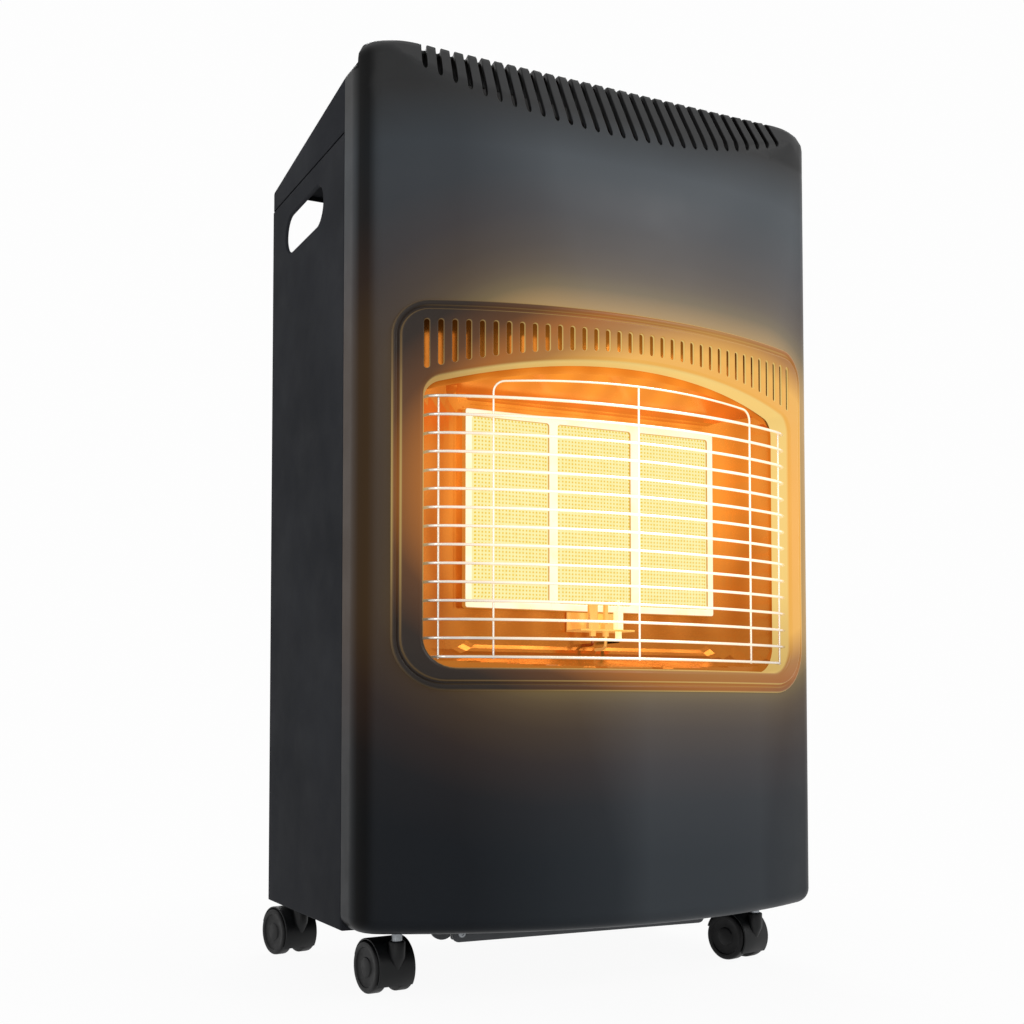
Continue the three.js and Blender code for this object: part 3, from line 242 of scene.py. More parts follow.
def sheet(shape, surface, outer, holes, us, vs, edges=(), thick=0, flip=False):
    """A pressed sheet: a flat outline with holes, mapped by surface(u, v) -> (point, normal).

    us and vs set the net of points between the loops; edges has a profile or None for each loop.
    """
    loops = [counterclockwise(list(loop)) for loop in (outer, *holes)]

    def within(points):
        kept = inside(points, loops[0])
        for hole in loops[1:]:
            kept &= ~inside(points, hole)
        return kept

    net = np.array([(u, v) for u in us for v in vs])
    flat = [Vector(p) for loop in loops for p in loop] + [Vector(p) for p in net[within(net)]]
    starts, constraints = [0], []
    for loop in loops:
        count = len(loop)
        constraints += [(starts[-1] + i, starts[-1] + (i + 1) % count) for i in range(count)]
        starts.append(starts[-1] + count)
    points, _, faces, origins, _, _ = delaunay_2d_cdt(flat, constraints, [], 1, 1e-7)
    centres = np.array([sum((points[i] for i in face), Vector((0, 0))) / 3 for face in faces])
    mapped = [surface(p.x, p.y) for p in points]
    base = [shape.add(p) for p, _ in mapped]
    normals = [n for _, n in mapped]
    back = [shape.add(p - n * thick) for p, n in mapped] if thick else None
    for face, wanted in zip(faces, within(centres)):
        if not wanted:
            continue
        order = list(face)[::-1] if flip else list(face)
        shape.face([base[i] for i in order], [normals[i] for i in order])
        if thick:
            order.reverse()
            shape.face([back[i] for i in order], [-normals[i] for i in order])
    where = {source: base[index] for index, sources in enumerate(origins) for source in sources}
    for number, (start, loop, profile) in enumerate(zip(starts, loops, edges)):
        if profile:
            ring = [where[start + i] for i in range(len(loop))]
            if flip:
                edge_rows(shape, surface, loop[::-1], number == 0, profile, ring[::-1], True)
            else:
                edge_rows(shape, surface, loop, number > 0, profile, ring)


def quarter(steps):
    """The angles of a quarter round."""
    return [PI / 2 * k / steps for k in range(steps + 1)]


def rounded_edge(radius, depth, steps=4):
    """Edge profile: a quarter round and then a wall, down to depth."""
    rows = [(radius * math.sin(a), radius * (1 - math.cos(a))) for a in quarter(steps)]
    return rows + [(radius, depth)] if depth > radius else rows


def spread(start, end, pitch):
    count = max(2, round(abs(end - start) / pitch) + 1)
    return [start + (end - start) * k / (count - 1) for k in range(count)]


def arc(cx, cy, radius, start, end, steps):
    return [(cx + radius * math.cos(start + (end - start) * k / steps),
             cy + radius * math.sin(start + (end - start) * k / steps)) for k in range(steps + 1)]


def filled(points, pitch):
    """The loop with points added along its straight runs."""
    result = []
    for (ax, ay), (bx, by) in zip(points, points[1:] + points[:1]):
        pieces = max(1, round(math.hypot(bx - ax, by - ay) / pitch))
        result += [(ax + (bx - ax) * k / pieces, ay + (by - ay) * k / pieces) for k in range(pieces)]
    return result


def rounded(corners, steps=8, pitch=None):
    """An outline through (x, y, radius) corners."""
    points = []
    for i, (x, y, radius) in enumerate(corners):
        if not radius:
            points.append((x, y))
            continue
        here = Vector((x, y))
        to_before = (Vector(corners[i - 1][:2]) - here).normalized()
        to_after = (Vector(corners[(i + 1) % len(corners)][:2]) - here).normalized()
        half = to_before.angle(to_after) / 2
        centre = here + (to_before + to_after).normalized() * (radius / math.sin(half))
        first = here + to_before * (radius / math.tan(half)) - centre
        last = here + to_after * (radius / math.tan(half)) - centre
        turn = math.atan2(first.x * last.y - first.y * last.x, first.dot(last))
        angle = math.atan2(first.y, first.x)
        points += arc(centre.x, centre.y, radius, angle, angle + turn, steps)
    return filled(points, pitch) if pitch else points


def rectangle(left, low, right, high, radius, steps, pitch=None, top_radius=None):
    """A rectangle's outline with rounded corners."""
    top = radius if top_radius is None else top_radius
    return rounded([(left, low, radius), (right, low, radius), (right, high, top), (left, high, top)],
                   steps, pitch)


def centred(x, y, half_x, half_y, *rest):
    """A rectangle's outline around its middle."""
    return rectangle(x - half_x, y - half_y, x + half_x, y + half_y, *rest)


def racetrack(ax, ay, bx, by, width, steps, pitch):
    along = math.atan2(by - ay, bx - ax)
    return filled(arc(bx, by, width / 2, along - PI / 2, along + PI / 2, steps)
                  + arc(ax, ay, width / 2, along + PI / 2, along + 3 * PI / 2, steps), pitch)


def turned(shape, profile, sides, centre, axis=(0, 0, 1)):
    """Adds a body of revolution from (radius, height) points, about axis through centre."""
    turn = UP.rotation_difference(Vector(axis).normalized())
    angles = [2 * PI * k / sides for k in range(sides)]
    shape.grid([[Vector(centre) + turn @ Vector((radius * math.cos(a), radius * math.sin(a), height))
                 for a in angles] for radius, height in profile], closed=True)


def lathed(name, body, material, nodes, *form):
    """A piece that is a single body of revolution."""
    shape = Shape()
    turned(shape, *form)
    shape.build(name, body, material, *nodes)


def heading(angle):
    return Vector((math.cos(angle), math.sin(angle), 0))


def tube(name, runs, radius, material, node, roundness=3, thin_runs=0):
    """Round wires through runs of points, as a bevelled curve turned into a mesh."""
    curve = bpy.data.curves.new(name, "CURVE")
    curve.dimensions = "3D"
    curve.bevel_depth = radius / 1000
    curve.bevel_resolution = roundness
    curve.use_fill_caps = True
    for number, run in enumerate(runs):
        spline = curve.splines.new("POLY")
        spline.points.add(len(run) - 1)
        for knot, point in zip(spline.points, run):
            knot.co = (*place(point), 1)
            knot.radius = THIN_WIRE if number >= len(runs) - thin_runs else 1.0
        spline.use_smooth = True
    holder = shown(name, curve)
    bpy.context.view_layer.update()
    mesh = bpy.data.meshes.new_from_object(holder.evaluated_get(bpy.context.evaluated_depsgraph_get()))
    bpy.data.objects.remove(holder)
    bpy.data.curves.remove(curve)
    mesh.name = name
    mesh.materials.clear()
    mesh.materials.append(material)
    mesh.shade_smooth()
    mesh.set_sharp_from_angle(angle=math.radians(50))
    dressed(name, mesh, "cabinet", [node])


def bent(corners, bend, steps=8):
    """A polyline with its corners rounded by quadratic curves."""
    nodes = [Vector(corner) for corner in corners]
    points = [nodes[0]]
    for before, here, after in zip(nodes, nodes[1:], nodes[2:]):
        reach = min(bend, (before - here).length / 2, (after - here).length / 2)
        start = here + (before - here).normalized() * reach
        end = here + (after - here).normalized() * reach
        for k in range(steps + 1):
            t = k / steps
            points.append(start * (1 - t) ** 2 + here * (2 * t * (1 - t)) + end * t ** 2)
    return points + [nodes[-1]]


def extruded(shape, outline, make, low, high, bevel, steps):
    """A plate from an outline, with rounded edges; make(u, v, w) gives the point at depth w."""
    outline = counterclockwise(list(outline))
    levels = [(bevel * (1 - math.sin(a)), bevel * (1 - math.cos(a))) for a in quarter(steps)]
    rows = [(grown(outline, -inset), low + rise) for inset, rise in levels]
    rows += [(grown(outline, -inset), high - rise) for inset, rise in reversed(levels)]
    base = shape.grid([[make(u, v, w) for u, v in loop] for loop, w in rows], closed=True)
    shape.face(base[0][::-1])
    shape.face(base[-1])


# ---- Materials
class Tree:
    """A small writer for node trees."""

    def __init__(self, owner):
        owner.use_nodes = True
        self.tree = owner.node_tree
        self.coords = None

    def node(self, kind, values=(), **settings):
        node = self.tree.nodes.new(kind)
        for key, value in settings.items():
            setattr(node, key, value)
        for key, value in dict(values).items():
            if isinstance(value, bpy.types.NodeSocket):
                self.tree.links.new(value, node.inputs[key])
            else:
                node.inputs[key].default_value = value
        return node

    def where(self):
        if not self.coords:
            self.coords = self.node("ShaderNodeTexCoord").outputs["Object"]
        return self.coords

    def xyz(self, vector):
        return self.node("ShaderNodeSeparateXYZ", {0: vector}).outputs

    def vector(self, operation, a, b=(0, 0, 0)):
        return self.node("ShaderNodeVectorMath", {0: a, 1: b}, operation=operation).outputs

    def noise(self, scale, detail=2.0, roughness=0.5):
        values = {"Vector": self.where(), "Scale": scale, "Detail": detail, "Roughness": roughness}
        return self.node("ShaderNodeTexNoise", values).outputs["Fac"]

    def remap(self, value, low, high, to_low=0.0, to_high=1.0):
        values = {"Value": value, "From Min": low, "From Max": high, "To Min": to_low, "To Max": to_high}
        return self.node("ShaderNodeMapRange", values).outputs["Result"]

    def math(self, operation, a, b=0.0):
        return self.node("ShaderNodeMath", {0: a, 1: b}, operation=operation).outputs[0]

    def mix(self, factor, a, b):
        values = {0: factor}
        for index, value in ((6, a), (7, b)):
            values[index] = value if isinstance(value, bpy.types.NodeSocket) else (*value, 1)
        return self.node("ShaderNodeMix", values, data_type="RGBA").outputs[2]

    def ramp(self, value, *stops):
        """A colour ramp; a stop's colour may be one grey level."""
        node = self.node("ShaderNodeValToRGB", {"Fac": value})
        elements = node.color_ramp.elements
        while len(elements) < len(stops):
            elements.new(0.5)
        for element, (position, color) in zip(elements, stops):
            element.position = position
            element.color = (*(color if isinstance(color, tuple) else (color,) * 3), 1)
        return node.outputs["Color"]


class Paint(Tree):
    """A material around one shader; sockets are the shader's further values."""

    def __init__(self, name, color, roughness, metallic=0.0, **sockets):
        self.material = bpy.data.materials.new(name)
        super().__init__(self.material)
        self.shader = self.tree.nodes["Principled BSDF"]
        values = {"Base Color": (*color, 1), "Roughness": roughness, "Metallic": metallic, **sockets}
        for socket, value in values.items():
            self.shader.inputs[socket.replace("_", " ")].default_value = value
        self.color = color

    def to(self, socket, value):
        self.tree.links.new(value, self.shader.inputs[socket])

    def bump(self, height, strength, distance):
        values = {"Height": height, "Strength": strength, "Distance": distance}
        self.to("Normal", self.node("ShaderNodeBump", values).outputs["Normal"])

    def weathered(self, grain, depth, strength, spread, patches, rough=0.08):
        """Fine grain in the bump, slow changes in colour and roughness."""
        slow = self.noise(patches, 3, 0.55)
        dark = tuple(c * (1 - spread) for c in self.color)
        light = tuple(min(1, c * (1 + spread)) for c in self.color)
        self.to("Base Color", self.mix(self.remap(slow, 0.35, 0.65), dark, light))
        smudge = self.noise(patches * 3.7, 4, 0.6)
        base = self.shader.inputs["Roughness"].default_value
        self.to("Roughness", self.remap(smudge, 0.3, 0.7, max(0.02, base - rough), min(1, base + rough)))
        self.bump(self.noise(grain, 2, 0.6), strength, depth)
        return self

    def glow(self, centre, reach):
        """1 at the centre of the fire's glow, falling to 0 at its reach."""
        offset = self.vector("SUBTRACT", self.where(), centre)[0]
        scaled = self.vector("MULTIPLY", offset, tuple(1 / r for r in reach))[0]
        return self.remap(self.vector("LENGTH", scaled)["Value"], 1.0, 0.0)

    def emit(self, color, strength=1.0):
        self.to("Emission Color", color)
        self.shader.inputs["Emission Strength"].default_value = strength

    def outer_only(self, color):
        """The colour on the faces' outer side, and black on their inner side."""
        inner = self.node("ShaderNodeNewGeometry").outputs["Backfacing"]
        return self.mix(inner, color, (0, 0, 0))

    def normal(self):
        return self.xyz(self.node("ShaderNodeTexCoord").outputs["Normal"])

    def turned_rim(self):
        """1 where a rim turns away from the front, and 0 on the flat of the front."""
        return self.remap(self.normal()[1], -0.84, -0.45)


def srgb(r, g, b):
    return tuple(((c / 255 + 0.055) / 1.055) ** 2.4 if c > 10 else c / 255 / 12.92 for c in (r, g, b))


def make_front_paint():
    """Dark paint with painted light: brighter upwards and inwards, painted shade along the left corner's
    rounding, and the fire's glow painted around the bezel as emission.
    """
    paint = Paint("front_paint", srgb(40, 44, 48), 0.42, Specular_IOR_Level=0.08)
    x, _, z = paint.xyz(paint.where())
    slow = paint.noise(2.2, 2, 0.5)
    # Painted light: the colour brightens upwards and towards the middle of the bow.
    height = paint.remap(z, 0.1, 0.62, 0.16, 0.74)
    across = paint.ramp(paint.remap(x, -0.21, 0.21), (0.0, 0.0), (0.16, 0.0), (0.3, 0.16), (0.52, 0.5),
                        (0.8, 0.44), (0.93, 0.2), (1.0, 0.0))
    tone = paint.math("ADD", paint.math("ADD", height, across), paint.math("MULTIPLY", slow, 0.12))
    body = paint.ramp(tone, (0.25, srgb(24, 27, 31)), (0.45, srgb(36, 40, 44)), (0.62, srgb(42, 46, 50)),
                      (1.0, srgb(76, 81, 85)))
    band = paint.remap(paint.noise(6, 2), 0, 1, 0.0, 0.02)
    top = paint.remap(paint.math("ADD", z, band), 0.655, 0.7)
    color = paint.mix(top, body, srgb(48, 48, 48))
    # Painted shade: darker where the normal turns to the left, darkest on the left corner's rounding just in
    # from the side.
    turned_away = paint.remap(paint.normal()[0], -1.0, -0.4)
    edge = paint.ramp(turned_away, (0.0, 0.8), (0.04, 0.7), (0.14, 0.12), (0.4, 0.2), (0.66, 0.75),
                      (1.0, 1.0))
    paint.to("Base Color", paint.vector("MULTIPLY", color, edge)[0])
    paint.to("Roughness", paint.remap(paint.noise(30, 4, 0.6), 0.3, 0.7, 0.36, 0.45))
    paint.bump(paint.noise(1400, 2, 0.6), 0.22, 0.00005)

    def beyond(value, middle, half):
        """How far a coordinate lies outside half from the middle."""
        offset = paint.math("ABSOLUTE", paint.math("SUBTRACT", value, middle))
        return paint.math("MAXIMUM", paint.math("SUBTRACT", offset, half), 0.0)

    # Painted light: the fire's warm glow on the panel around the bezel, given as emission.
    aside = paint.math("MULTIPLY", beyond(x, 0.035, 0.1), 0.78)
    above = beyond(z, 0.387, 0.08)
    away = paint.math("SQRT", paint.math("ADD", paint.math("MULTIPLY", aside, aside),
                                         paint.math("MULTIPLY", above, above)))
    painted_fire_light = paint.ramp(paint.remap(away, 0.2, 0.05), (0.0, 0.0), (0.25, (0.003, 0.001, 0.0)),
                      (0.46, (0.016, 0.006, 0.001)), (0.63, (0.038, 0.018, 0.003)),
                      (0.72, (0.062, 0.033, 0.007)), (0.77, (0.085, 0.049, 0.012)),
                      (0.84, (0.14, 0.088, 0.022)), (1.0, (0.45, 0.26, 0.07)))
    paint.emit(paint.outer_only(painted_fire_light))
    return paint.material


def make_bezel_steel():
    """Dark steel with the fire's light painted on its flat as emission, and painted golden highlights on its
    rims.
    """
    steel = Paint("bezel_steel", srgb(35, 31, 28), 0.4, 0.15, Specular_IOR_Level=0.2)
    steel.weathered(1200, 0.00005, 0.2, 0.12, 12, 0.05)
    glow = steel.glow((0.08, -0.165, 0.385), (0.36, 0.4, 0.215))
    # Painted light: the fire's glow on the flat, given as emission.
    painted_fire_light = steel.ramp(glow, (0.0, 0.0), (0.12, (0.01, 0.004, 0.001)), (0.22, (0.09, 0.03, 0.004)),
                      (0.3, (0.34, 0.11, 0.012)), (0.36, (0.38, 0.16, 0.03)), (0.46, (0.82, 0.42, 0.075)),
                      (0.7, (0.88, 0.42, 0.07)), (1.0, (1.0, 0.5, 0.1)))
    # Painted highlight: golden light on the rims, given as emission.
    rim = steel.ramp(glow, (0.0, (0.02, 0.014, 0.008)), (0.15, (0.16, 0.1, 0.04)),
                     (0.35, (0.62, 0.42, 0.13)), (0.6, (0.9, 0.62, 0.2)), (1.0, (0.95, 0.66, 0.22)))
    steel.emit(steel.outer_only(steel.mix(steel.turned_rim(), painted_fire_light, rim)))
    return steel.material


def make_wire():
    wire = Paint("guard_wire", srgb(215, 208, 198), 0.22, 0.9)
    wire.weathered(1600, 0.00003, 0.15, 0.05, 60, 0.05)
    # Painted light: the fire's glow on the wires, given as emission, strongest in front of the burner.
    wire.emit(wire.ramp(wire.glow((0.02, -0.165, 0.38), (0.2, 0.13, 0.17)), (0.0, (0.06, 0.05, 0.04)),
                        (0.25, (0.5, 0.38, 0.24)), (0.6, (0.85, 0.72, 0.5)), (1.0, (0.92, 0.82, 0.62))))
    return wire.material


def make_reflector_steel():
    """Wavy steel with the fire's reflection painted in: an orange base colour and an orange glow given as
    emission, both duller along its floor.
    """
    steel = Paint("reflector_steel", srgb(196, 112, 46), 0.22, 1.0)
    waves = steel.node("ShaderNodeTexWave", {"Vector": steel.where(), "Scale": 9.0, "Distortion": 3.0,
                                             "Detail": 2.0, "Detail Scale": 1.2}).outputs["Fac"]
    z = steel.xyz(steel.where())[2]
    # Painted reflection: the fire's orange in the base colour, varied by waves, darker along the floor.
    painted_reflection = steel.mix(waves, srgb(182, 98, 30), srgb(206, 122, 46))
    steel.to("Base Color", steel.mix(steel.remap(z, 0.262, 0.31, 1.0, 0.0), painted_reflection, srgb(146, 84, 32)))
    steel.to("Roughness", steel.remap(steel.noise(45, 3), 0.3, 0.7, 0.14, 0.28))
    steel.bump(steel.noise(26, 2, 0.4), 0.35, 0.0012)
    # Painted light: the fire's glow given as emission, with a dull even glow along the floor.
    painted_fire_light = steel.ramp(steel.glow((0.01, -0.11, 0.42), (0.23, 0.16, 0.16)), (0.0, 0.0),
                      (0.22, (0.08, 0.024, 0.003)), (0.5, (0.42, 0.14, 0.014)), (1.0, (0.6, 0.22, 0.03)))
    steel.emit(steel.mix(steel.remap(z, 0.255, 0.3, 1.0, 0.0), painted_fire_light, (0.2, 0.07, 0.008)))
    return steel.material


def make_frame_steel():
    steel = Paint("frame_steel", srgb(170, 150, 110), 0.35, 0.6)
    steel.to("Roughness", steel.remap(steel.noise(70, 3), 0.3, 0.7, 0.22, 0.4))
    # Painted light: the frame glows with the fire's light as emission, cream on its flat and orange on its
    # rims.
    painted_glow = steel.ramp(steel.noise(40, 2), (0.3, (0.95, 0.84, 0.5)), (0.6, (0.95, 0.9, 0.72)))
    steel.emit(steel.mix(steel.turned_rim(), painted_glow, (0.42, 0.15, 0.015)), 0.85)
    return steel.material


def make_plaque_ceramic():
    """Glowing ceramic with rows of fine burner ports."""
    tile = Paint("glowing_ceramic", srgb(70, 54, 30), 0.85, Specular_IOR_Level=0.05)
    port_pitch = 0.003
    x, _, z = tile.xyz(tile.where())
    waves = [tile.math("SINE", tile.math("MULTIPLY", value, 2 * PI / port_pitch)) for value in (x, z)]
    ports = tile.math("MULTIPLY", *[tile.remap(wave, -0.2, 0.6) for wave in waves])
    mottle = tile.remap(tile.noise(260, 3, 0.6), 0.3, 0.7, -0.12, 0.16)
    tile.emit(tile.ramp(tile.math("ADD", ports, mottle), (0.0, (0.97, 0.9, 0.44)), (0.5, (0.94, 0.76, 0.2)),
                        (1.0, (0.86, 0.57, 0.04))), 0.96)
    tile.bump(ports, -0.4, 0.0008)
    return tile.material


def plain(name, color, roughness, metallic=0.0, grain=900, depth=0.00006, strength=0.25, spread=0.15,
          patches=12, **sockets):
    paint = Paint(name, srgb(*color), roughness, metallic, **sockets)
    return paint.weathered(grain, depth, strength, spread, patches).material


front_paint = make_front_paint()
cabinet_paint = plain("cabinet_paint", (47, 48, 51), 0.6, grain=1400, depth=0.00005, strength=0.22, patches=6,
                      Specular_IOR_Level=0.012)
bezel_steel = make_bezel_steel()
guard_wire = make_wire()
reflector_steel = make_reflector_steel()
frame_steel = make_frame_steel()
glowing_ceramic = make_plaque_ceramic()
zinc_steel = plain("zinc_steel", (150, 154, 158), 0.38, 0.9, grain=260, depth=0.0002, spread=0.22, patches=70)
brass = plain("brass", (196, 154, 84), 0.3, 0.95, grain=700, patches=40)
copper = plain("copper", (186, 122, 84), 0.34, 0.95, grain=700, patches=50)
cast_aluminium = plain("cast_aluminium", (172, 174, 176), 0.48, 0.85, grain=420, depth=0.0003, strength=0.5)
black_plastic = plain("black_plastic", (15, 16, 17), 0.45, grain=1100, depth=0.00008, strength=0.4,
                      Specular_IOR_Level=0.25)
grey_plastic = plain("grey_plastic", (56, 58, 61), 0.45, grain=1000, depth=0.0001, strength=0.45, patches=30)
black_rubber = plain("black_rubber", (11, 11, 12), 0.5, grain=800, depth=0.0001, strength=0.5, patches=40,
                     Specular_IOR_Level=0.2)
bar_paint = plain("bar_paint", (56, 59, 63), 0.42, grain=1200, patches=30)
# Painted light: the pilot's brass and the spark electrode's ceramic glow with the fire's light as emission.
lit_brass = plain("lit_brass", (214, 160, 84), 0.24, 0.95, grain=600, patches=60,
                  Emission_Color=(0.42, 0.24, 0.06, 1), Emission_Strength=1.0)
lit_ceramic = plain("lit_ceramic", (240, 226, 180), 0.5, grain=500,
                    Emission_Color=(0.8, 0.68, 0.32, 1), Emission_Strength=1.0)
print_white = plain("print_white", (205, 207, 208), 0.6, grain=1500)


# ---- The bowed plan of the front
def plan(s):
    """Point and outward normal of the front's plan outline at the signed length s from its middle."""
    side = 1 if s >= 0 else -1
    a = abs(s)
    if a <= BOW_LENGTH:
        angle = a / BOW_RADIUS
        x, y = BOW_RADIUS * math.sin(angle), BOW_CENTRE - BOW_RADIUS * math.cos(angle)
    elif a <= BOW_LENGTH + TURN_LENGTH:
        angle = BOW_JOIN + (a - BOW_LENGTH) / CORNER_RADIUS
        x, y = CORNER_X + CORNER_RADIUS * math.sin(angle), CORNER_Y - CORNER_RADIUS * math.cos(angle)
    else:
        angle = PI / 2
        x, y = HALF_WIDTH, CORNER_Y + a - BOW_LENGTH - TURN_LENGTH
    return side * x, y, Vector((side * math.sin(angle), -math.cos(angle), 0))


def plan_distance(x, y):
    x = abs(x)
    if y >= CORNER_Y:
        return x - HALF_WIDTH
    if x < (BOW_CENTRE - y) * math.tan(BOW_JOIN):
        return math.hypot(x, y - BOW_CENTRE) - BOW_RADIUS
    return math.hypot(x - CORNER_X, y - CORNER_Y) - CORNER_RADIUS


def crown_field(p):
    """Distance-like field of the front panel's body: bow, inclined band and crown, softly joined."""
    x, y, z = p
    up = z - (CROWN_TOP - CROWN_CORNER)
    across = plan_distance(x, y) + CROWN_CORNER
    body = min(max(across, up), 0) + math.hypot(max(across, 0), max(up, 0)) - CROWN_CORNER
    band = ((z - BAND_START) - BAND_RISE * (y + PANEL_APEX)) / BAND_SLANT
    soft = 26 - 24 * min(1, max(0, (z - 690) / 20))
    overlap = max(soft - abs(body - band), 0) / soft
    return max(body, band) + overlap * overlap * soft / 4


def settle(point):
    """Moves a point onto the crown field's surface and gives the normal there."""
    p = Vector(point)
    step = 0.02
    for _ in range(4):
        value = crown_field(p)
        slope = Vector([crown_field(p + Vector(way)) - value
                        for way in ((step, 0, 0), (0, step, 0), (0, 0, step))]) / step
        p = p - slope * (value / slope.length_squared)
    return p, slope.normalized()


# ---- Front panel
def bezel_outline(inset, pitch=None):
    half = BEZEL_HALF - inset
    return rectangle(-half, BEZEL_LOW + inset, half, BEZEL_HIGH - inset, 39 - inset, 10, pitch, 27 - inset)


def crown_z(y):
    return min(BAND_START + BAND_RISE * (y + PANEL_APEX), CROWN_TOP)


def wall_surface(s, z):
    x, y, normal = plan(s)
    if z < PLAIN_BOW_TOP or y > CROWN_BACK + 0.005 and z > COVER_FRONT_TOP - 6:
        return Vector((x, y, z)), normal
    return settle((x, y, z))


def crown_surface(x, y):
    return settle((x, y, crown_z(y)))


def make_front_panel():
    shape = Shape()
    low = PANEL_BOTTOM + BOTTOM_ROLL
    edge = COVER_FRONT_TOP - COVER_CORNER
    lengths = spread(-HALF_LENGTH, HALF_LENGTH, 3.2)
    at_back = BOW_LENGTH + TURN_LENGTH - CORNER_RADIUS * math.asin((CORNER_Y - CROWN_BACK) / CORNER_RADIUS)
    crown = [-at_back] + [s for s in lengths if abs(s) < at_back - 0.5] + [at_back]
    sides = [s for s in lengths if s > at_back + 0.5]
    # The wall, with the burner's window.
    outline = [(s, low) for s in lengths] + [(s, edge) for s in reversed(sides)] + [(at_back + 0.01, edge)]
    outline += [(s, crown_z(plan(s)[1])) for s in reversed(crown)]
    outline += [(-at_back - 0.01, edge)] + [(-s, edge) for s in sides]
    window = [(BOW_RADIUS * math.asin(x / BOW_RADIUS), z) for x, z in bezel_outline(12, 6)]
    heights = spread(low + 6, PLAIN_BOW_TOP, 12) + spread(PLAIN_BOW_TOP + 6, 716, 4)
    sheet(shape, wall_surface, outline, [window], lengths[1:-1], heights, [None, rounded_edge(0.8, SHEET)])
    # The slotted band and the crown.
    front = [plan(s)[:2] for s in crown]
    back = [(x, CROWN_BACK) for x in spread(front[-1][0], front[0][0], 4)[1:-1]]
    slots = []
    for k in range(BAND_SLOTS):
        share = 2 * k / (BAND_SLOTS - 1) - 1
        x = 164 * share
        low_y = -PANEL_APEX + (677 + 30 * share * share - BAND_START) / BAND_RISE
        slots.append(racetrack(x, low_y, x * 0.96, -31, 5.6, 6, 2.5))
    sheet(shape, crown_surface, front + back, slots, spread(-206, 206, 4), spread(-88, -27, 2.5),
          [None] + [rounded_edge(0.9, 3.2, 3)] * BAND_SLOTS)
    # The step down behind the crown.
    tops = [crown_surface(x, y)[0] for x, y in [front[-1]] + back + [front[0]]]
    rows = [[(p.x, CROWN_BACK, p.z) for p in tops], [(p.x, CROWN_BACK + 0.6, p.z - 1.2) for p in tops],
            [(p.x, CROWN_BACK + 0.8, min(p.z, COVER_FRONT_TOP) - 0.4) for p in tops]]
    normals = [[Vector(way)] * len(tops) for way in ((0, 0.7, 0.7), (0, 1, 0.2), (0, 1, 0))]
    shape.grid(rows, normals=normals, flip=True)
    # The strip between the crown and the top cover, and its joggle under the cover.
    section = arc(-HALF_WIDTH + COVER_CORNER, edge, COVER_CORNER, PI, PI / 2, 5)
    section += arc(HALF_WIDTH - COVER_CORNER, edge, COVER_CORNER, PI / 2, 0, 5)
    ways = [Vector((-math.cos(a), 0, math.sin(a))) for a in quarter(5)]
    ways += [Vector((math.sin(a), 0, math.cos(a))) for a in quarter(5)]
    inner = HALF_WIDTH - 1.6
    joggle = [(-inner, edge)] + [(x, z - 1.6) for x, z in section[1:-1]] + [(inner, edge)]
    rows = [[(x, y, z) for x, z in section] for y in (CROWN_BACK, -0.4, 0)]
    rows += [[(x, y, z) for x, z in joggle] for y in (0.1, 7)]
    shape.grid(rows, normals=[ways] * 5)
    # The rolled bottom edge and its return.
    walls = [plan(s) for s in lengths]
    rows = [[Vector((x, y, low - BOTTOM_ROLL * math.sin(a))) - way * (BOTTOM_ROLL * (1 - math.cos(a)))
             for x, y, way in walls] for a in quarter(8)]
    normals = [[way * math.cos(a) - Vector((0, 0, math.sin(a))) for _, _, way in walls] for a in quarter(8)]
    rows.append([p - way * 8 for p, (_, _, way) in zip(rows[-1], walls)])
    normals.append([Vector((0, 0, -1))] * len(walls))
    shape.grid(rows, normals=normals, flip=True)
    shape.build("front_panel_skin", "cabinet", front_paint, "front_panel")


# ---- Bezel and wire guard
def bow_surface(outset):
    radius = BOW_RADIUS + outset

    def surface(x, z):
        y = math.sqrt(radius * radius - x * x)
        return Vector((x, BOW_CENTRE - y, z)), Vector((x, -y, 0)) / radius
    return surface


def arch_z(x):
    return ARCH_TOP - ARCH_RADIUS + math.sqrt(ARCH_RADIUS ** 2 - x * x)


def opening_outline(outset):
    half = OPENING_HALF + outset
    low, corner = OPENING_LOW - outset, OPENING_CORNER + outset
    corners = [(-half, low, corner), (half, low, corner)]
    for k in range(25):
        x = half * (1 - k / 12)
        corners.append((x, arch_z(x) + outset, 14 + outset if k in (0, 24) else 0))
    return rounded(corners, 8, 7)


def make_bezel():
    shape = Shape()
    ridge = [(0, 0), (0.7, 0.12), (1.3, 0.6), (1.6, 1.5), (2.0, 2.5), (2.7, 2.9), (3.7, 2.7), (4.4, 1.9),
             (5.0, 1.4), (6.0, 1.2), (7.2, 1.4), (8.2, 2.0), (8.8, 3.0), (9.0, 4.0)]
    collar = rounded_edge(3.4, 3.4, 6) + [(3.4, 17.9), (2.2, 17.9), (2.2, 5)]
    slots = []
    for x in spread(-166, 166, 332 / (BEZEL_SLOTS - 1)):
        slots.append(racetrack(x, arch_z(x) + 9.5, x, 507, 5.4, 7, 6))
    sheet(shape, bow_surface(BEZEL_OUTSET), bezel_outline(9, 6), [opening_outline(3.4)] + slots,
          spread(-178, 178, 5), spread(240, 518, 7),
          [ridge, collar] + [rounded_edge(0.9, 1.9, 3)] * BEZEL_SLOTS)
    shape.build("bezel_pressing", "cabinet", bezel_steel, "bezel")


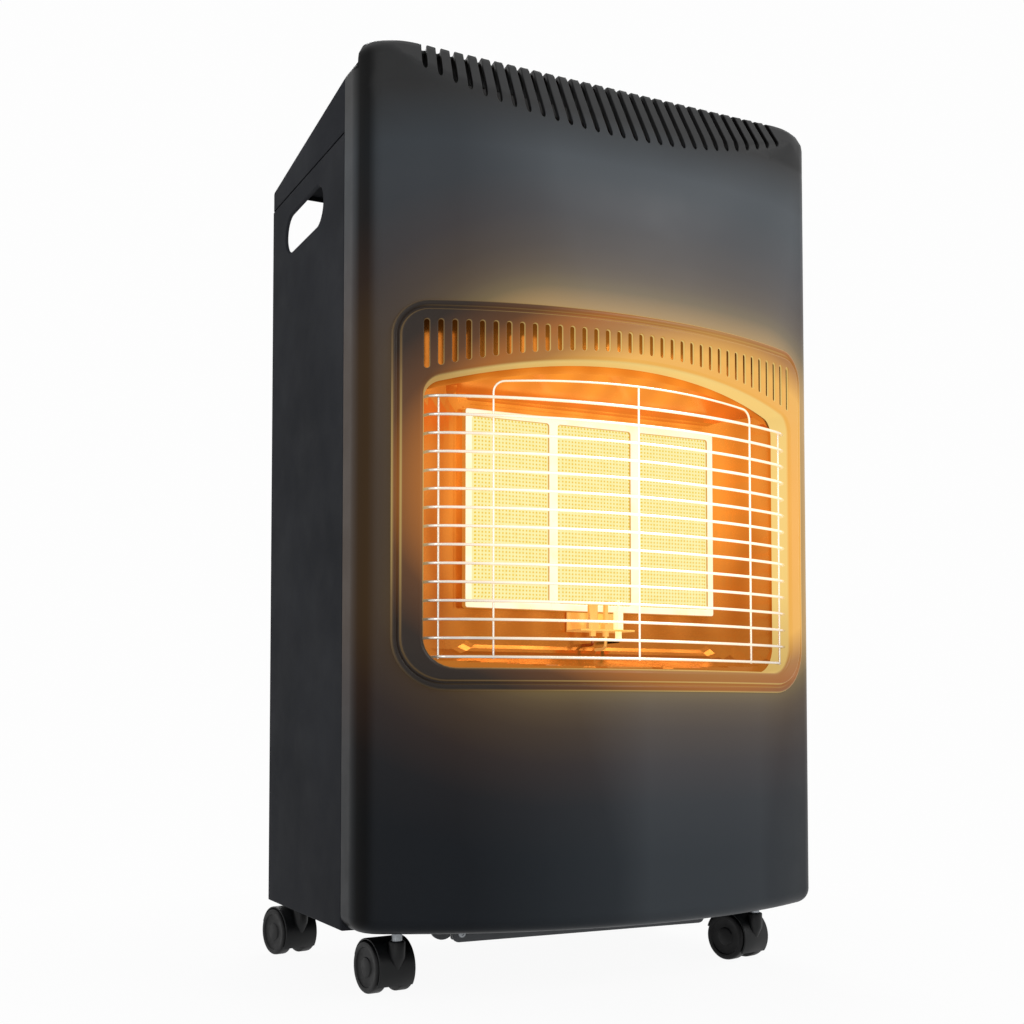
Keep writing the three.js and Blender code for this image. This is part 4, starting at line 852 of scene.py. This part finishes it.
def make_guard():
    """Level wires with their ends turned back, and behind them a hoop and three uprights."""
    radius = BOW_RADIUS + BEZEL_OUTSET - 1.1 - WIRE_RADIUS

    def bow(x, z, behind=0.0):
        return x, BOW_CENTRE - math.sqrt(radius * radius - x * x) + behind, z

    def rear(x, z):
        return bow(x, z, 2.4)

    turn_x = 154
    turn_y = bow(turn_x, 0)[1]
    runs = []
    for k in range(WIRES):
        z = WIRE_LOW + WIRE_PITCH * k
        below = max(OPENING_LOW + OPENING_CORNER - (z - WIRE_RADIUS), 0)
        cut = OPENING_CORNER - math.sqrt(OPENING_CORNER ** 2 - below ** 2)
        end_x = OPENING_HALF - cut - WIRE_RADIUS - 0.6
        run = [bow(x, z) for x in spread(-turn_x + 3, turn_x - 3, 6)]
        for across, along in ((0.0, 0.035), (0.25, 0.1), (0.75, 0.35), (1, 1)):
            x = turn_x + (end_x - turn_x) * across
            y = turn_y + (-44 - turn_y) * along
            run = [(-x, y, z)] + run + [(x, y, z)]
        runs.append(run)
    foot = WIRE_LOW - WIRE_RADIUS
    top = WIRE_LOW + WIRE_PITCH * (WIRES - 1)
    hoop_top = top + 17
    leg, bend = 117, 9
    side = [rear(-leg, z) for z in spread(foot, hoop_top - 16, 24)]
    side += [rear(x, z) for x, z in arc(-leg + bend, hoop_top - 13, bend, PI, PI / 2, 6)]
    crest = [rear(share * (leg - bend), hoop_top - 4 * share * share) for share in spread(-1, 1, 0.1)[1:-1]]
    runs.append(side + crest + [(-x, y, z) for x, y, z in reversed(side)])
    runs.append([rear(0, z) for z in (foot, 350, hoop_top - WIRE_RADIUS)])
    runs += [[rear(x, z) for z in (foot, 350, top + WIRE_RADIUS)] for x in (-turn_x - 2, turn_x + 2)]
    tube("guard_wires", runs, LEVEL_WIRE, guard_wire, "wire_guard", thin_runs=4)


# ---- Reflector and burner
def make_reflector():
    """A dish with a filleted back plate, cut off at the bow, and a flange above the opening."""
    shape = Shape()
    radius = BOW_RADIUS - 14.4
    fillet = 7

    def loop_at(depth, inset):
        """The dish's section at a depth in front of its back plate."""
        half = DISH_HALF + 1.9 * min(depth, 24.5) - inset
        low, high = DISH_LOW - 0.18 * depth + inset, DISH_HIGH + 0.36 * depth - inset
        return rectangle(-half, low, half, high, 10 + depth * 0.25, 6, 9)

    count = len(loop_at(0, fillet))

    def resampled(outline):
        """The outline with count points at even distances."""
        closed = outline + outline[:1]
        lengths = [0]
        for a, b in zip(closed, closed[1:]):
            lengths.append(lengths[-1] + math.dist(a, b))
        result = []
        seek = 0
        for k in range(count):
            want = lengths[-1] * k / count
            while lengths[seek + 1] < want:
                seek += 1
            t = (want - lengths[seek]) / (lengths[seek + 1] - lengths[seek])
            a, b = closed[seek], closed[seek + 1]
            result.append((a[0] + (b[0] - a[0]) * t, a[1] + (b[1] - a[1]) * t))
        return result

    def bow_limit(x):
        return BOW_CENTRE - math.sqrt(radius * radius - min(abs(x), 200) ** 2)

    rows = []
    for angle in quarter(4):
        depth = fillet * (1 - math.cos(angle))
        loop = resampled(loop_at(depth, fillet * (1 - math.sin(angle))))
        rows.append([(x, DISH_BACK - depth, z) for x, z in loop])
    for depth in spread(10, 78, 6):
        rows.append([(x, max(DISH_BACK - depth, bow_limit(x)), z) for x, z in resampled(loop_at(depth, 0))])
    shape.grid(rows, closed=True, flip=True)
    hole = centred(0, BURNER_Z, PLAQUE_PITCH + PLAQUE_HALF + 5, PLAQUE_TALL + 5, 0, 1, 12)
    sheet(shape, lambda x, z: (Vector((x, DISH_BACK, z)), FRONT), resampled(loop_at(0, fillet)),
          [hole], spread(-112, 112, 14), spread(272, 456, 14), [None, [(0, 0), (0, 1)]])
    flange = [(x, 524) for x in spread(-182, 182, 7)] + [(x, arch_z(x) - 6) for x in spread(182, -182, 7)]
    sheet(shape, bow_surface(-15.2), flange, [], spread(-180, 180, 7), spread(470, 520, 8))
    shape.build("reflector_dish", "cabinet", reflector_steel, "reflector", sharp=60)


def make_burner():
    low, high, half = 306, 446, 31.5          # a plaque's raised field
    windows = []
    for index, name in enumerate(("left", "centre", "right")):
        middle = (index - 1) * PLAQUE_PITCH

        def face(u, v, x=middle):
            edge = min(u + half, half - u, v - low, high - v)
            return Vector((x + u, -18 - min(1.2, max(0, edge)), v)), FRONT

        shape = Shape()
        columns = [-half, -half + 1.2, *spread(-28, 28, 4), half - 1.2, half]
        rows = [low, low + 1.2, *spread(310, 442, 4), high - 1.2, high]
        sheet(shape, face, centred(0, BURNER_Z, PLAQUE_HALF, PLAQUE_TALL, 2, 3, 4), [], columns, rows,
              [[*rounded_edge(1.2, 12, 3), (0, 12)]], thick=12)
        shape.build(f"plaque_{name}", "cabinet", glowing_ceramic, f"ceramic_plaque_{name}")
        windows.append(centred(middle, BURNER_Z, PLAQUE_HALF - 0.3, PLAQUE_TALL - 0.3, 3, 4, 10))
    shape = Shape()
    outline = centred(0, BURNER_Z, PLAQUE_PITCH + PLAQUE_HALF + 3.7, PLAQUE_TALL + 3.7, 1, 3, 12)
    sheet(shape, lambda u, v: (Vector((u, -20.5, v)), FRONT), outline, windows,
          spread(-112, 112, 8), spread(300, 452, 12),
          [rounded_edge(1, 14, 3)] + [rounded_edge(0.9, 2.2, 3)] * 3)
    shape.build("burner_surround", "cabinet", frame_steel, "burner_frame")


# ---- Side panels, top cover and rear cover
def make_side_panels():
    radius = 1.6
    outline = rectangle(0.4 + radius, SIDE_LOW + radius, SIDE_DEPTH - radius, SIDE_TOP - radius, 0, 1, 16)
    handle = racetrack(69, 628.5, 137, 628.5, 36.4, 16, 5)
    grip = [(0, 0), (0.5, 0.08), (1.1, 0.4), (1.6, 0.9), (2.0, 1.4), (2.2, 2.0), (1.9, 2.3), (1.2, 2.2)]
    for name, side in (("left", -1), ("right", 1)):
        shape = Shape()
        out = Vector((side, 0, 0))
        sheet(shape, lambda y, z: (Vector((side * HALF_WIDTH, y, z)), out), outline, [handle],
              spread(8, 186, 14), spread(60, 655, 16), [rounded_edge(radius, 13), grip], flip=side < 0)
        tab = [[(side * (HALF_WIDTH - radius), y, z) for y in (2, SIDE_DEPTH - 8)] for z in (652, 674)]
        shape.grid(tab, normals=[[out] * 2] * 2, flip=side < 0)
        shape.build(f"side_skin_{name}", "cabinet", cabinet_paint, f"{name}_side_panel")


def make_top_cover():
    shape = Shape()
    steps = 8                    # of each rounded top corner
    rows = []
    for y, inset in ((0.4, 0.7), (0.6, 0.25), (1.1, 0), (98, 0), (SIDE_DEPTH - 3, 0), (SIDE_DEPTH - 1.9, 0.2),
                     (SIDE_DEPTH - 0.9, 0.8), (SIDE_DEPTH - 0.2, 1.7), (SIDE_DEPTH, 2.4)):
        half = HALF_WIDTH - inset
        radius = COVER_CORNER - inset
        height = COVER_FRONT_TOP - inset - radius
        section = [(-half, COVER_LOW), (-half, SKIRT_KNEE)]
        section += arc(-half + radius, height, radius, PI, PI / 2, steps)
        section += arc(half - radius, height, radius, PI / 2, 0, steps)
        section += [(half, SKIRT_KNEE), (half, COVER_LOW)]
        rows.append([(x, y, z - COVER_SLOPE * y if z > SKIRT_KNEE else z) for x, z in section])
    over_top = 2 + steps         # the column between the rounded corners; the sheet with the hole fills it
    for j, (a, b) in enumerate(zip(rows, rows[1:])):
        for i in range(len(a) - 1):
            if i != over_top or j not in (2, 3):
                shape.face([shape.add(p) for p in (a[i], a[i + 1], b[i + 1], b[i])])
    # The rear wall, opened above the rear cover.
    half, high = 196, 681.3
    opening = [(half, COVER_LOW), (half, high), (-half, high), (-half, COVER_LOW)]
    wall = [(x, z) for x, _, z in rows[-1]] + opening
    shape.face([shape.add((x, SIDE_DEPTH, z)) for x, z in wall])
    shape.grid([[(x, y, z) for x, z in opening] for y in (SIDE_DEPTH, SIDE_DEPTH - SHEET)])
    normal = Vector((0, COVER_SLOPE, 1)).normalized()
    sheet(shape, lambda x, y: (Vector((x, y, COVER_FRONT_TOP - COVER_SLOPE * y)), normal),
          rectangle(-205, 1.1, 205, SIDE_DEPTH - 3, 0, 1, 20), [rectangle(36, 55, 188, 141, 9, 8, 8)],
          spread(-190, 190, 20), spread(16, 176, 18), [None, rounded_edge(1, 3, 3)])
    shape.merge()
    shape.build("top_cover_skin", "cabinet", cabinet_paint, "top_cover")


def make_rear_cover():
    shape = Shape()
    half, low, high = 190, 55.6, 560
    front_y, rear_y, radius = 192.8, 251.5, 30
    flat = half - radius
    turn = radius * PI / 2
    total = flat + turn + rear_y - radius - front_y
    top = high - 42              # where the sloped shoulder starts

    def outline_at(s):
        side = 1 if s >= 0 else -1
        a = abs(s)
        if a <= flat:
            return side * a, rear_y, Vector((0, 1, 0))
        if a <= flat + turn:
            way = Vector((side * math.sin((a - flat) / radius), math.cos((a - flat) / radius), 0))
            return side * flat + radius * way.x, rear_y - radius + radius * way.y, way
        return side * half, rear_y - radius - (a - flat - turn), Vector((side, 0, 0))

    def surface(s, z):
        x, y, way = outline_at(s)
        return Vector((x, y, z)), way

    vents = []
    for x in (-85, 85):
        for row in range(8):
            for z in (122.5 + row * 16, 382.5 + row * 16):
                vents.append(racetrack(x - 52.5, z, x + 52.5, z, 5, 6, 12))
    sheet(shape, surface, rectangle(-total, low, total, top, 0, 1, 7), vents,
          spread(-total + 5, total - 5, 9), spread(low + 8, top - 8, 14),
          [None] + [rounded_edge(1.2, 3.0, 3)] * len(vents), flip=True)
    outline = [outline_at(s)[:2] for s in spread(-total, total, 6)]
    rows = []
    for k in range(15):
        t = k / 14
        setback = 36 * t * min(1, 4 * t)
        rows.append([(x, min(y, rear_y - setback), top + (high - top) * t) for x, y in outline])
    rows.append([(x, max(front_y, min(y, rear_y - 37.5)), high) for x, y, _ in rows[-1]])
    shape.grid(rows, flip=True)
    shape.face([shape.add(p) for p in rows[-1]])
    rim = 200
    heights = (low + 10, high - 8, high)
    for side in (-1, 1):
        columns = [side * x for x in (half - 1, rim - 0.6, rim)]
        shape.grid([[(x, front_y + SHEET, z) for x in columns] for z in heights], flip=side < 0)
        shape.grid([[(side * rim, y, z) for y in (front_y, front_y + SHEET)] for z in heights], flip=side < 0)
    shape.grid([[(x, y, high) for x in (-rim, rim)] for y in (front_y, front_y + SHEET)])
    shape.merge()
    shape.build("rear_cover_pressing", "rear_cover", cabinet_paint, "rear_cover", sharp=40)


# ---- Controls
def make_tray():
    shape = Shape()

    def ring(inset, z=None, drop=0.0):
        loop = centred(TRAY_X, DIAL_Y, 75 - inset, 42 - inset, max(8 - inset, 2.5), 8)
        return [(x, y, (COVER_FRONT_TOP - COVER_SLOPE * y if z is None else z) - drop) for x, y in loop]

    fillet, floor_z = 2.4, TRAY_FLOOR + 2.4
    lip = ((0.3, 1.5), (0.4, 0), (1.1, 0), (1.8, 0.35), (2.2, 1.2))
    rows = [ring(inset, None, drop) for inset, drop in lip]
    rows += [ring(2.3 + fillet * (1 - math.cos(a)), floor_z - fillet * math.sin(a)) for a in quarter(4)]
    shape.grid(rows, closed=True, flip=True)
    full = 2 * PI * 23 / 24      # up to the last of 24 points
    holes = [arc(x, DIAL_Y, radius, 0, full, 23) for x, radius in ((KNOB_X, 6.3), (BUTTON_X, 10.2))]
    sheet(shape, lambda x, y: (Vector((x, y, TRAY_FLOOR)), UP), [p[:2] for p in rows[-1]], holes,
          spread(44, 180, 12), spread(62, 134, 12), [None] + [rounded_edge(0.4, 2, 2)] * 2)
    shape.merge()
    shape.build("tray_moulding", "cabinet", black_plastic, "control_tray")


def make_knob():
    knob = Shape()
    low = 687
    centre = Vector((KNOB_X, DIAL_Y, 0))
    turned(knob, [(21, low), (21, low + 3.2), (20.6, low + 4), (19.8, low + 4.6), (19.2, low + 5.4),
                  (19, low + 8.6), (18.6, low + 9.5), (17.6, low + 10), (0.01, low + 10)], 64, centre)
    turned(knob, [(0.01, low), (21, low)], 64, centre)
    extruded(knob, centred(0, 0, 4.5, 16.6, 4.2, 6),
             lambda u, v, w: Vector((KNOB_X + u * (1.1 - 0.1 * (w - low - 9) / 11), DIAL_Y + v, w)),
             low + 8.5, low + 20, 1.4, 4)
    knob.build("knob_cap", "gas_knob", black_plastic, "control_knob")
    ridge = [(0.01, low + 0.3), (0.75, low + 0.3), (0.75, low + 3.2), (0.4, low + 3.9), (0.01, low + 4)]
    for k in range(0, 24, 2):
        angle = 2 * PI * k / 24
        lathed(f"knob_rib_{k}", "gas_knob", black_plastic, [], ridge, 8, centre + heading(angle) * 20.7)
    pointer = Shape()
    extruded(pointer, rectangle(-0.6, 9, 0.6, 15.6, 0.5, 3),
             lambda u, v, w: Vector((KNOB_X + u, DIAL_Y + v, w)), low + 19.9, low + 20.05, 0.04, 1)
    pointer.build("knob_pointer", "gas_knob", print_white)


def make_dial():
    """The printed scale around the knob, in the order in which the knob turns over it."""
    ticks = Shape()
    centre = Vector((KNOB_X, DIAL_Y, TRAY_FLOOR + 0.06))
    angles = [math.radians(90 + 22.5 * k) for k in range(13)]
    for k, angle in enumerate(angles):
        inner, outer, half = (25.2, 27, 0.35) if k % 4 else (24.5, 28, 0.55)
        way = heading(angle)
        side = Vector((-way.y, way.x, 0)) * half
        ticks.face([ticks.add(p) for p in (centre + way * inner - side, centre + way * outer - side,
                                           centre + way * outer + side, centre + way * inner + side)])
    ticks.build("dial_ticks", "cabinet", print_white)
    for digit, angle in zip("0123", angles[::4]):
        text = bpy.data.curves.new(f"dial_{digit}", "FONT")
        text.body = digit
        text.size = 0.0062
        text.align_x = "CENTER"
        text.align_y = "CENTER"
        text.extrude = 0.00003
        text.materials.append(print_white)
        obj = shown(f"dial_{digit}", text)
        obj.location = place(centre + heading(angle) * 32)
        obj.rotation_euler = (0, 0, PI)
        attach(obj, "cabinet")


def make_button():
    top = 693.7
    profile = [(7, 671), (7, top - 2), (10, top - 2), (10, top + 1.6), (9.7, top + 2.6), (8.9, top + 3.5),
               (8.0, top + 3.9), (0.01, top + 3.4)]
    lathed("button_cap", "igniter_push", grey_plastic, ["igniter_button"], profile, 48, (BUTTON_X, DIAL_Y, 0))


# ---- Foot bar and casters
def make_foot_bar():
    shape = Shape()

    def upright(u, v, w):
        return Vector((u, -w, v))

    extruded(shape, racetrack(-112.5, 41, 112.5, 41, 11, 10, 30), upright, -1.5, 1.5, 0.7, 3)
    for x in (-110, 110):
        extruded(shape, rectangle(x - 8, 37.5, x + 8, 53, 1.5, 3, top_radius=0), upright, -4, -1.4, 0.4, 2)
    shape.build("foot_bar_strip", "cabinet", bar_paint, "front_foot_bar")
    head = [(3.4, 0), (3.4, 0.5), (3.1, 1.1), (2.4, 1.6), (1.5, 1.8), (1.2, 1.1), (0.01, 1.0)]
    for name, x in (("left", -110.5), ("right", 110.5)):
        lathed(f"bar_screw_head_{name}", "cabinet", zinc_steel, [f"bar_screw_{name}"], head, 28,
               (x, -1.6, 42.5), FRONT)
    brace = Shape()
    extruded(brace, rectangle(-100, 93, 100, 113, 2, 3), lambda u, v, w: Vector((u, v, w)), 51, 53, 0.4, 2)
    for x in (-82, 82):
        lug = arc(x, 32, 12, PI, 2 * PI, 16) + [(x + 12, 52), (x - 12, 52)]
        extruded(brace, lug, lambda u, v, w: Vector((u, 103 - w, v)), -1.5, 1.5, 0.5, 2)
    brace.build("brace_strip", "cabinet", bar_paint, "base_brace")


def make_casters():
    start, end = 0.1 * PI, 1.2 * PI           # the hood's reach around the wheels
    disc = [(2.3, 7), (19.0, 7), (19.7, 7.3), (20, 8), (20, 15.0), (19.85, 15.9), (19.3, 16.7), (18.4, 17),
            (16.6, 17), (15.6, 16.8), (15.1, 16.0), (14.4, 15.8), (8.6, 15.5), (7.9, 15.6), (7.3, 16.3),
            (6.2, 16.6), (0.01, 16.7)]
    stem = [(0.01, 25.3), (4, 25.3), (4, 50.2), (10, 50.2), (10, 51.8), (9.6, 52.6), (9, 53), (4, 53),
            (4, 58.2), (3.2, 60.3), (0.01, 60.3)]
    centre = (WHEEL_RADIUS, WHEEL_RADIUS)     # behind the swivel, and above the floor
    fender = arc(*centre, 22.3, start, end, 36) + arc(*centre, 20.7, end, start, 36)
    web = arc(*centre, 21.2, start, end, 30) + [(20, 13)]
    for name, (cx, cy, degrees) in CASTERS.items():
        turn = math.radians(degrees)
        across, along = heading(turn), heading(turn + PI / 2)

        def there(x, y, z):
            return Vector((cx, cy, z)) + across * x + along * y

        hood = Shape()
        extruded(hood, fender, lambda u, v, w: there(w, u, v), -15.5, 15.5, 0.7, 3)
        extruded(hood, web, lambda u, v, w: there(w, u, v), -5.5, 5.5, 0.4, 2)
        turned(hood, [(0.01, 17), (2.4, 20.5), (4.6, 25), (6.0, 28), (6.4, 30), (6.4, 40.6), (6.0, 41.4),
                      (5.2, 41.7), (4.3, 41.7), (4.3, 38)], 36, there(0, 0, 0))
        hood.build(f"{name}_hood", f"{name}_swivel", black_plastic, f"{name}_caster_hood")
        lathed(f"{name}_stem", "cabinet", zinc_steel, [f"{name}_caster_stem"], stem, 32, there(0, 0, 0))
        for wheel, side in (("a", -1), ("b", 1)):
            lathed(f"{name}_disc_{wheel}", f"{name}_wheel_{wheel}", black_rubber,
                   [f"{name}_caster_wheel_{wheel}"], disc, 64, there(0, *centre), across * side)


# ---- Gas pipes and leads
def make_pipes():
    lead_ends = {1: [(132.5, 52, 619.5), (92, 52, 619.5), (92, 52, 641.7), (92, 79.7, 641.7)],
                 2: [(128, 98, 615), (152, 98, 615), (152, 98, 645.4)]}

    def lead(x, lane, start):
        """From the pilot down, along the reflector's floor, up beside it and over to the controls."""
        low = 267 + 3.2 * lane
        up = 137 - 4.5 * lane
        return bent([(x, -32, start), (x, -32, low), (x, -9.5, low), (up, -9.5, low),
                     (up, -9.5, 624 - 4.5 * lane), *lead_ends[lane]], 8)

    tube("pilot_line", [lead(-9, 1, 276.7)], 1.3, copper, "pilot_pipe")
    tube("spark_cable", [lead(15, 2, 274.7)], 1.3, black_rubber, "ignition_lead")
    supply = [(150.3, 4.05, 245), (165, 4.05, 245), (165, 4.05, 648), (74, 4.05, 648), (74, 79.7, 648)]
    tube("burner_line", [bent(supply, 16)], 4, copper, "supply_pipe", roundness=6)


def dress_nodes():
    """Materials for the CAD nodes that stay."""
    finishes = {
        "chassis_panel": zinc_steel, "base_pan": cabinet_paint, "gas_manifold": cast_aluminium,
        "pilot_bracket": lit_brass, "pilot_burner": lit_brass, "thermocouple": lit_brass,
        "spark_electrode": lit_ceramic, "gas_valve": cast_aluminium, "hose_nozzle": brass,
        "valve_spindle": brass, "igniter_body": black_plastic,
    }
    for name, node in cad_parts.items():
        finish = finishes.get(name)
        if name.startswith("burner_box") or name.endswith("_axle"):
            finish = zinc_steel
        if name.startswith("injector"):
            finish = brass
        if finish:
            node.data.materials.clear()
            node.data.materials.append(finish)


# ---- Camera, light and floor
BACKGROUND = (0.985, 0.985, 0.985)
AMBIENT = (0.37, 0.38, 0.4)


def make_camera():
    data = bpy.data.cameras.new("camera")
    camera = shown("camera", data)
    camera.location = (-0.556004, -1.069725, 0.216785)
    camera.rotation_euler = (math.radians(92.5), 0, math.radians(-26.325))
    data.sensor_width = 36
    data.lens = 48.183
    data.shift_y = 0.136
    data.clip_start = 0.01
    data.clip_end = 100
    bpy.context.scene.camera = camera


def lamp(name, location, target, size, power):
    data = bpy.data.lights.new(name, "AREA")
    data.shape = "RECTANGLE"
    data.size, data.size_y = size
    data.energy = power
    obj = shown(name, data)
    obj.location = location
    obj.rotation_euler = (Vector(target) - Vector(location)).to_track_quat("-Z", "Y").to_euler()


def background_rays(tree):
    """1 for the rays that see the plain background: camera, glossy and transmission rays."""
    rays = tree.node("ShaderNodeLightPath").outputs
    seen = tree.math("MAXIMUM", rays["Is Camera Ray"], rays["Is Glossy Ray"])
    return tree.math("MAXIMUM", seen, rays["Is Transmission Ray"])


def make_world():
    world = bpy.data.worlds.new("studio")
    bpy.context.scene.world = world
    sky = Tree(world)
    tone = sky.mix(background_rays(sky), AMBIENT, BACKGROUND)
    sky.tree.links.new(tone, sky.tree.nodes["Background"].inputs["Color"])


def make_floor():
    """Catches the shadow near the object and fades to the plain background."""
    material = bpy.data.materials.new("studio_floor")
    writer = Tree(material)
    writer.tree.nodes.clear()
    diffuse = writer.node("ShaderNodeBsdfDiffuse", {"Color": (0.86, 0.86, 0.86, 1)}).outputs[0]
    white = writer.node("ShaderNodeEmission", {"Color": (*BACKGROUND, 1)}).outputs[0]
    fade = writer.remap(writer.vector("LENGTH", writer.where())["Value"], 0.2, 0.6, 0.955, 1.0)
    share = writer.math("MULTIPLY", background_rays(writer), fade)
    both = writer.node("ShaderNodeMixShader", {0: share, 1: diffuse, 2: white}).outputs[0]
    writer.node("ShaderNodeOutputMaterial", {"Surface": both})
    mesh = bpy.data.meshes.new("floor")
    mesh.from_pydata([(x, y, 0) for x, y in centred(0, 0, 12, 12, 0, 1)], [], [(0, 1, 2, 3)])
    mesh.materials.append(material)
    floor = shown("floor", mesh)


make_front_panel()
make_bezel()
make_guard()
make_reflector()
make_burner()
make_side_panels()
make_top_cover()
make_rear_cover()
make_tray()
make_knob()
make_dial()
make_button()
make_foot_bar()
make_casters()
make_pipes()
dress_nodes()

make_camera()
make_world()
make_floor()
lamp("key", (1.9, -2.6, 2.3), (0, -0.1, 0.4), (1.6, 1.6), 62)
lamp("fill", (-2.2, -2.2, 1.2), (0, 0, 0.35), (0.6, 2.4), 16)
lamp("rear", (1.3, 2.6, 2.2), (0, 0, 0.4), (2.0, 1.6), 80)
bpy.context.scene.view_settings.view_transform = "Standard"
